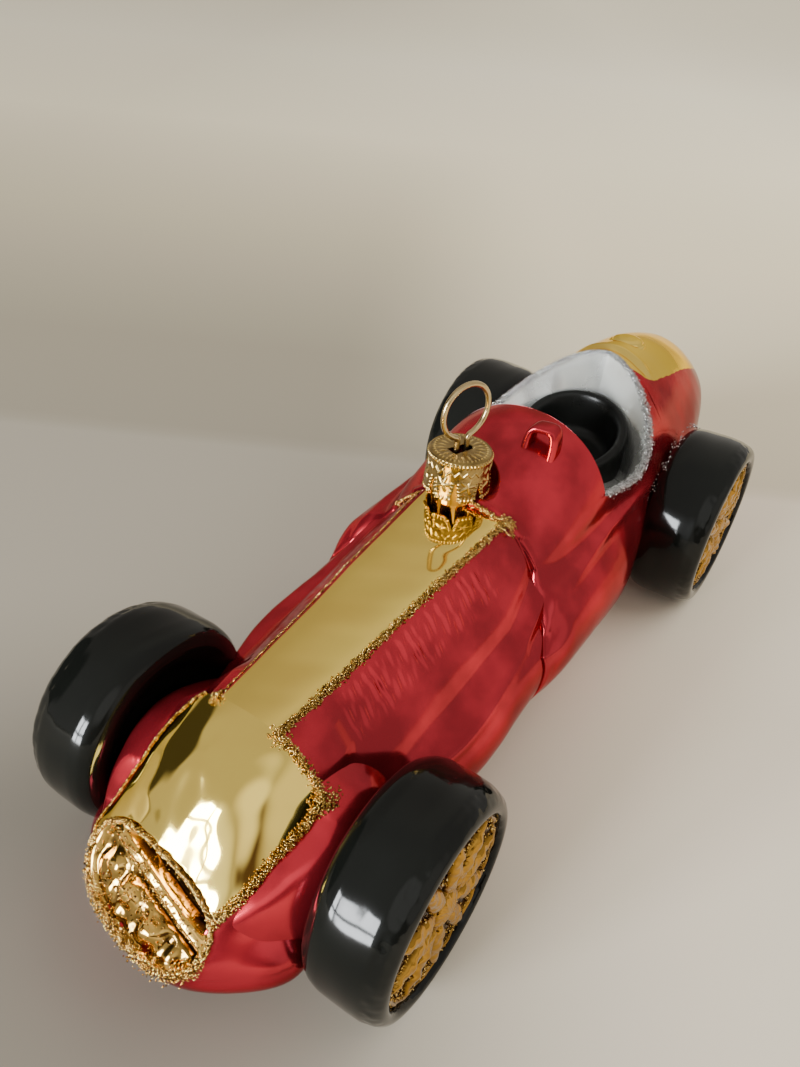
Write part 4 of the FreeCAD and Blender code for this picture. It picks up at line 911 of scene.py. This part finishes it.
# each axle: place along the car, tyre radius, tyre width, place of its face from the middle, disc radius
FRONT = (64.0, 15.5, 10.9, 28.9, 12.6)
REAR = (-38.4, 17.3, 12.2, 30.5, 13.8)
for end, (axle, radius, width, face, disc_radius) in (("front", FRONT), ("rear", REAR)):
    for hand, side in (("left", 1), ("right", -1)):
        tyre_points = stood(tyre_surface(radius, width, disc_radius), axle, radius, face, side)
        tyre = glass_mesh("tyre_skin_%s_%s" % (end, hand), [rounded(tyre_points, side)], black_enamel)
        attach(tyre, "glass_body")
        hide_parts("tyre_%s_%s" % (end, hand))
        disc_points = stood(disc_surface(disc_radius, 0.3 * side + axle), axle, radius, face, side)
        disc = glass_mesh("disc_skin_%s_%s" % (end, hand), [rounded(disc_points, side)], disc_gold)
        # the height over the dish's floor that places the painted shade between the petals
        mark_points(disc, "raised", unit((side * disc_points[..., 1] - face + 1.3) / 0.85))
        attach(disc, "glass_body")
        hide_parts("disc_%s_%s" % (end, hand))


# Fairings and stubs: the red body swells out over the front axle on each side, as far as the tyre, and reaches
# the rear tyres by short stubs
def fairing_surface(side):
    """Rings of an ellipsoid about the car's cross axis, from inside the flank out to the tyre, cut off level
    below and fuller on top by a power of 3.4: half-axes 20, 18.8 and 15 mm round a middle 66.5 mm ahead and
    12.5 mm up. Beside the cowl it keeps under the gold's edge by a soft minimum of the two heights."""
    out = np.linspace(8.0, 18.0, 60)[:, None]
    turn = np.linspace(0, 2 * np.pi, 200)[None, :]
    round_ring, full_ring = (1 - (out / 18.8) ** 2) ** 0.5, (1 - (out / 18.8) ** 3.4) ** (1 / 3.4)
    x = 66.5 + 20 * round_ring * np.cos(turn)
    z = np.maximum(12.5 + 15 * np.where(np.sin(turn) > 0, full_ring, round_ring) * np.sin(turn), 5.0)
    roof = np.interp(x, *(COWL_LEFT if side > 0 else COWL_RIGHT)) + 4 * np.clip(68.5 - x, 0, 3) - 0.3
    z = -0.5 * np.logaddexp(-z / 0.5, -roof / 0.5)
    return np.stack([x, side * out + 0 * x, z], axis=-1)


for hand, side in (("left", 1), ("right", -1)):
    points, outward = rounded(fairing_surface(side), side)
    points = points + outward * (hand_blown(points) * 1.4 - 0.1)[..., None]
    fairing = glass_mesh("fairing_skin_" + hand, [rounded(points, side)], ruby_lacquer)
    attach(fairing, "glass_body")
    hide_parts("stub_front_" + hand)


def paint_node(name, material):
    """Gives a CAD node its material."""
    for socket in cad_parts[name].material_slots:
        socket.material = material


for hand in ("left", "right"):
    paint_node("stub_front_" + hand, ruby_lacquer)
    paint_node("stub_rear_" + hand, ruby_lacquer)


# Cap: a stamped gold-coloured tinplate cup over the neck, beaded round its top and tabs, embossed with stars and
# zigzags, and slit round the skirt into eight tabs
CAP_TOP = 45.7
CAP_HEIGHT = 6.9
CAP_RADIUS = 5.0
HANGER_TURN = math.radians(-19)
TAB_STEP = 2 * np.pi / 8
# the cap's low parts between its beads, stars and zigzags carry painted shade in brown
cap_tin = gold_with_painted_hollow_shade("cap_tin", (0.72, 0.52, 0.19), (0.17, 0.10, 0.03), 0.24)


def from_slit(turn):
    """Distance in mm round the skirt to the nearest slit."""
    return np.abs((turn + TAB_STEP / 2) % TAB_STEP - TAB_STEP / 2) * CAP_RADIUS


def cap_outside():
    """The cup's section turned round the neck: a flat top, a rounded edge and a skirt that flares a little, with
    beads, a ring of stars, a zigzag and tab edges raised on it as functions of turn and height. It gives the
    points with each one's turn, height and relief."""
    section = smooth_profile([(0.0, 0), (CAP_RADIUS - 0.5, 0), (CAP_RADIUS - 0.05, -0.35),
                              (CAP_RADIUS - 0.05, -3), (CAP_RADIUS + 0.22, -CAP_HEIGHT)], 150)
    points = turned_surface(section, 481)
    turn = np.linspace(0, 2 * np.pi, 481)[None, :]
    radius, height = section[:, :1], section[:, 1:2]
    bead = lambda where, every, size: size * unit(np.cos(where * 2 * np.pi / every)) ** 0.7
    top_beads = bell(height + 0.75, 0.26) * bead(turn, 2 * np.pi / 52, 0.24)
    foot_beads = bell(height + CAP_HEIGHT - 0.42, 0.24) * bead(turn, 2 * np.pi / 56, 0.22)
    slit_half = 0.15 + 0.5 * unit((-height - CAP_HEIGHT + 3.0) / 3.0)
    beside = bell(from_slit(turn) - slit_half - 0.33, 0.17) * bead(height, 0.62, 0.2)
    beside = beside * unit((-3.4 - height) / 0.4)
    star_across = ((turn + TAB_STEP) % TAB_STEP - TAB_STEP / 2) * CAP_RADIUS
    star_radius, star_turn = np.hypot(star_across, height + 4.1), np.arctan2(height + 4.1, star_across)
    star = 0.2 * unit(1.25 - star_radius / (0.75 + 0.45 * np.cos(5 * star_turn)))
    zigzag = 0.16 * bell(height + 2.15 - 0.38 * (2 / np.pi) * np.arcsin(np.sin(turn * 24)), 0.14)
    raised = np.maximum.reduce([top_beads, foot_beads, beside, star, zigzag]) * unit((-0.3 - height) / 0.2)
    top_ring = bell(radius - 4.15, 0.22) * bead(turn, 2 * np.pi / 40, 0.2)
    rays = 0.14 * bell(radius - 3.1, 0.55) * unit(np.cos(turn * 20))
    on_top = unit((height + 0.25) / 0.1)
    points[..., :2] *= (1 + raised / np.maximum(radius, 1))[..., None]
    points[..., 2] += (np.maximum(top_ring, rays) - 0.2) * on_top - 0.02
    return points, turn, height, np.maximum(raised / 0.2, np.maximum(top_ring, rays) / 0.2 * on_top)


def kept_faces(points, turn, height):
    """True for each face of the cup whose middle lies outside its slits and its slot."""
    middle = lambda grid: (grid[:-1, :-1] + grid[1:, 1:]) / 2
    angle, height = (middle(np.broadcast_to(grid, points.shape[:2])) for grid in (turn, height))
    x, y = middle(points[..., 0]), middle(points[..., 1])
    into = -height - CAP_HEIGHT + 3.1
    foot_round = unit(0.45 - np.sqrt(unit(CAP_HEIGHT + height)) * 0.45)
    slit = (into > 0) & (from_slit(angle) < 0.06 + 0.17 * into + foot_round) & (height < -1)
    slot = (np.abs(x) < 2.0) & (np.abs(y) < 1.0) & (height > -0.3)
    return ~(slit | slot)


def drop_faces(piece, kept):
    """Takes the faces of the openings out of a grid's mesh, and the points that nothing uses any more."""
    work = bmesh.new()
    work.from_mesh(piece.data)
    work.faces.ensure_lookup_table()
    gone = [work.faces[number] for number in np.flatnonzero(~kept.ravel())]
    bmesh.ops.delete(work, geom=gone, context="FACES")
    bmesh.ops.remove_doubles(work, verts=work.verts, dist=1e-6)
    work.to_mesh(piece.data)
    work.free()


cap_points, cap_turn, cap_height, cap_relief = cap_outside()
cos_turn, sin_turn = math.cos(HANGER_TURN), math.sin(HANGER_TURN)
placed = np.stack([cap_points[..., 0] * cos_turn - cap_points[..., 1] * sin_turn + NECK[0],
                   cap_points[..., 0] * sin_turn + cap_points[..., 1] * cos_turn + NECK[1],
                   cap_points[..., 2] + CAP_TOP], axis=-1)
cap = glass_mesh("cap_skin", [rounded(placed)], cap_tin)
# the embossed relief that places the painted shade on the cap's low parts
mark_points(cap, "raised", unit(0.25 + 0.75 * cap_relief))
drop_faces(cap, kept_faces(cap_points, cap_turn, cap_height))
wall = cap.modifiers.new("wall", "SOLIDIFY")
wall.thickness = 0.3 * MM
wall.offset = -1
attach(cap, "cap")
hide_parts("cap")

# Hanger: one piece of springy brassy wire, bent to an eye whose legs pass down through the slot
WIRE_COLOUR = (0.70, 0.53, 0.27)
hanger_wire = mottled("hanger_wire", 700, 3, tuple(c * 0.72 for c in WIRE_COLOUR), WIRE_COLOUR,
                      (0.14, 0.28), 0.03, {"Metallic": 1.0})
paint_node("hanger", hanger_wire)

# Neck: the glass tube that the cap grips, gold inside the cap
old_gold = mirror_lacquer("old_gold", (0.85, 0.52, 0.16), 0.11, 0.05, 0.2, 0.1)
paint_node("neck", old_gold)


# Glitter: grains of cut foil in clear glue, laid along the seams by hand, thicker at the corners
random = np.random.default_rng(7)
GRAIN, COARSE_GRAIN = 0.2, 0.26


def glitter_foil(name, dark, middle, bright):
    """Foil grains: metal whose colour runs from a dark to a bright tone, each grain with its own."""
    foil, tree, shader = new_material(name)
    tone = add_node(tree, "ShaderNodeAttribute", {}, attribute_name="grain_tone").outputs["Fac"]
    feed(tree, shader, {"Metallic": 1.0, "Roughness": 0.12,
                        "Base Color": toned(tree, tone, (0, dark), (0.6, middle), (1, bright))})
    return foil


gold_foil = glitter_foil("gold_foil", (0.10, 0.05, 0.012), (0.62, 0.37, 0.08), (0.98, 0.72, 0.29))
silver_foil = glitter_foil("silver_foil", (0.20, 0.20, 0.20), (0.80, 0.80, 0.80), (1.0, 1.0, 1.0))


def glitter_grains(name, places, normals, grain, material, lift):
    """One small eight-faced crystal per place: three unequal half-axes turned at random by the usual matrix of a
    unit quaternion, joined in one mesh."""
    count = len(places)
    corners = np.array([(1, 0, 0), (-1, 0, 0), (0, 1, 0), (0, -1, 0), (0, 0, 1), (0, 0, -1)], float)
    faces = np.array([(0, 2, 4), (2, 1, 4), (1, 3, 4), (3, 0, 4), (2, 0, 5), (1, 2, 5), (3, 1, 5), (0, 3, 5)])
    size = grain * random.uniform(0.55, 1.25, (count, 1)) * np.array([[1.0, 0.8, 0.55]])
    quaternion = random.normal(size=(count, 4))
    quaternion /= np.linalg.norm(quaternion, axis=1, keepdims=True)
    w, x, y, z = quaternion.T
    turn = np.array([[1 - 2 * (y * y + z * z), 2 * (x * y - z * w), 2 * (x * z + y * w)],
                     [2 * (x * y + z * w), 1 - 2 * (x * x + z * z), 2 * (y * z - x * w)],
                     [2 * (x * z - y * w), 2 * (y * z + x * w), 1 - 2 * (x * x + y * y)]])
    points = np.einsum("ijn,nkj->nki", turn, corners[None] * size[:, None, :])
    points = points + (places + normals * lift[:, None])[:, None, :]
    index = (np.arange(count)[:, None, None] * len(corners) + faces[None]).reshape(-1, 3)
    piece = new_piece(name, points.reshape(-1, 3), index, material)
    mark_points(piece, "grain_tone", np.repeat(random.uniform(0, 1, count), len(corners)))
    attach(piece, "glass_body")


def strewn(line, normals, width, per_mm, heap):
    """Random places along a line: even along it, bell-shaped across it, heaped in the middle; widths may change
    along the line."""
    length = np.concatenate([[0], np.cumsum(np.linalg.norm(np.diff(line, axis=0), axis=1))])
    count = int(length[-1] * per_mm)
    at = random.uniform(0, length[-1], count)
    sample = lambda values: np.stack([np.interp(at, length, values[:, k]) for k in range(3)], axis=-1)
    normal = sample(normals)
    normal /= np.linalg.norm(normal, axis=1, keepdims=True)
    across = np.cross(normal, sample(np.gradient(line, axis=0)))
    across /= np.linalg.norm(across, axis=1, keepdims=True)
    wide = np.interp(at, length, np.broadcast_to(width, len(line)))
    off = np.clip(random.normal(0, 0.33, count), -1, 1) * wide
    lift = heap * (1 - (off / np.maximum(wide, 1e-6)) ** 2) * random.uniform(0.2, 1, count)
    return sample(line) + across * off[:, None], normal, lift


def along_edge(sections, station, around, relief):
    """Line on the body at one round place per station, with its normals, relief and waves included."""
    beside = np.stack([around - 0.02, around, around + 0.02], axis=1)
    points, normals = lifted(blown_surface(sections, station, beside), False, relief)
    return points[:, 1], normals[:, 1]


def along_ring(sections, station, step, around):
    """Line round the body at one station, with its normals from the stations a step away."""
    points = blown_surface(sections, station + step * np.array([-1, 0, 1]), np.tile(around, (3, 1)))
    return points[1], outward_normals(points, False)[1]


lines = []
# the seam along the strip's left edge, wide and thick, and on the right a fainter line beyond the gold's edge
line = along_edge(bonnet_sections, bonnet_rows[::3], strip_edge[::3] + 0.02, louvre_relief)
lines.append(strewn(*line, 0.85, 70, 0.5))
line = along_edge(bonnet_sections, bonnet_rows[::3], bonnet_count - strip_edge[::3] - 0.35, louvre_relief)
lines.append(strewn(*line, 0.3, 12, 0.12))
# the cowl's rear edge, from near the top down the left side
round_edge = np.linspace(-edge[0], left_edge[0], 160)
ring, ring_normals = along_ring(nose_sections, COWL_REAR, 0.1, round_edge)
left_part = round_edge > 1.05
lines.append(strewn(ring[left_part], ring_normals[left_part], 0.95, 75, 0.55))
# down the cowl's side edges to the corners of the grille
lines.append(strewn(*along_edge(nose_sections, rows_back, left_edge, nose_relief), 1.0, 78, 0.55))
lines.append(strewn(*along_edge(nose_sections, rows_back, nose_count - edge, nose_relief), 0.45, 14, 0.15))
# round the grille, thick along its lower lip
rim_turn = np.linspace(0, 2 * np.pi, 300)
rim_along, rim_over = mouth_ring(1.02, rim_turn)
mouth_rim = nose_over(rim_along[None], rim_over[None])[0]
mouth_width = 0.45 + 0.75 * unit(np.sin(rim_turn) * 3 + 0.6)
lines.append(strewn(mouth_rim, np.tile(MOUTH_AXIS, (300, 1)), mouth_width, 75, 0.4))
# over the grille's ridge bar, and scattered thinly in its hollows
scatter = random.uniform(size=grille_base.shape[:2])
on_bar = np.abs(mouth_over + 2.5 - 0.15 * mouth_along) < 1.0
chosen = (scatter < np.where(on_bar, 0.06, 0.018)) & (ring_share < 0.97)
grille_lift = random.uniform(0, 0.25, chosen.sum())
lines.append((grille_points[chosen], np.tile(MOUTH_AXIS, (chosen.sum(), 1)), grille_lift))
# along the firewall behind the strip, round the foot of the neck
fire_line, fire_normals = along_ring(rear_sections, FIREWALL, 0.2, np.linspace(-2.7, 1.9, 170))
lines.append(strewn(fire_line + np.array([0.4, 0, -0.2]), fire_normals, 0.75, 65, 0.45))


def blob(centre, normal, radius, count):
    """A heap of grains: places in a flat dome over the centre."""
    normal = np.array(normal, float) / np.linalg.norm(normal)
    off = random.normal(0, 0.42, (count, 3))
    off -= (off @ normal)[:, None] * normal
    off = off[np.linalg.norm(off, axis=1) < 1.1] * radius
    high = radius * 0.35 * np.sqrt(unit(1 - (np.linalg.norm(off, axis=1) / radius / 1.1) ** 2))
    return np.array(centre) + off, np.tile(normal, (len(off), 1)), high


# heaps low on the cowl's left corner, at the strip's front right, rear left and front left corners
for centre, normal, radius, count in (
        ((67.4, 12.1, 26.4), (0.3, 0.8, 0.5), 2.2, 300), ((67.5, -4.4, 33.0), (0.2, -0.4, 0.9), 1.2, 60),
        ((17.4, 7.4, 37.0), (0.1, 0.4, 0.9), 1.9, 230), ((67.4, 5.2, 32.6), (0.3, 0.4, 0.85), 1.5, 130)):
    lines.append(blob(centre, normal, radius, count))
places, normals, lift = (np.concatenate(column) for column in zip(*lines))
glitter_grains("gold_glitter", places, normals, GRAIN, gold_foil, lift)

# silver glitter round the cockpit's rim, and the little that strayed onto the inner edge of the rear left tyre
rim = rim_line[:len(cockpit_rows) * 2 - 1]
places, normals, lift = strewn(rim, np.tile(np.array([0.0, 0.0, 1.0]), (len(rim), 1)), 1.2, 85, 0.5)
glitter_grains("rim_glitter", places, normals, GRAIN, silver_foil, lift)

axle, radius, width, face, _ = REAR
turn = random.uniform(0.2, np.pi * 0.95, 170)
stray = np.stack([axle + (radius - 0.8) * np.cos(turn), face - width + random.normal(0, 0.35, 170),
                  radius + (radius - 0.8) * np.sin(turn)], axis=-1)
stray_normal = np.stack([np.cos(turn), np.full(170, -0.6), np.sin(turn)], axis=-1) / 1.17
glitter_grains("stray_glitter", stray, stray_normal, GRAIN, silver_foil,
               random.uniform(0.5, 1.0, 170))

# coarse gold glitter between the petals and round the rims of the wheel discs
grains_per_disc = 1300
disc_grains = []
for axle, radius, width, face, disc_radius in (FRONT, REAR):
    for side in (1, -1):
        turn = random.uniform(0, 2 * np.pi, grains_per_disc)
        ring = np.where(random.uniform(size=grains_per_disc) < 0.45,
                        random.normal(disc_radius - 0.9, 0.35, grains_per_disc),
                        disc_radius * np.sqrt(random.uniform(0.1, 0.9, grains_per_disc)))
        off = from_petal(turn, 0.3 * side + axle)
        clear = (np.abs(ring * np.sin(off)) > 0.75) | (ring > disc_radius - 1.9)
        turn, ring = turn[clear], np.minimum(ring[clear], disc_radius - 0.35)
        flat = np.stack([ring * np.cos(turn), ring * np.sin(turn), np.full(len(ring), -1.2)], axis=-1)
        outward = np.tile(np.array([0.0, side, 0.0]), (len(ring), 1))
        disc_grains.append((stood(flat, axle, radius, face, side), outward))
places, normals = (np.concatenate(column) for column in zip(*disc_grains))
glitter_grains("disc_glitter", places, normals, COARSE_GRAIN, gold_foil,
               random.uniform(0.0, 0.3, len(places)))
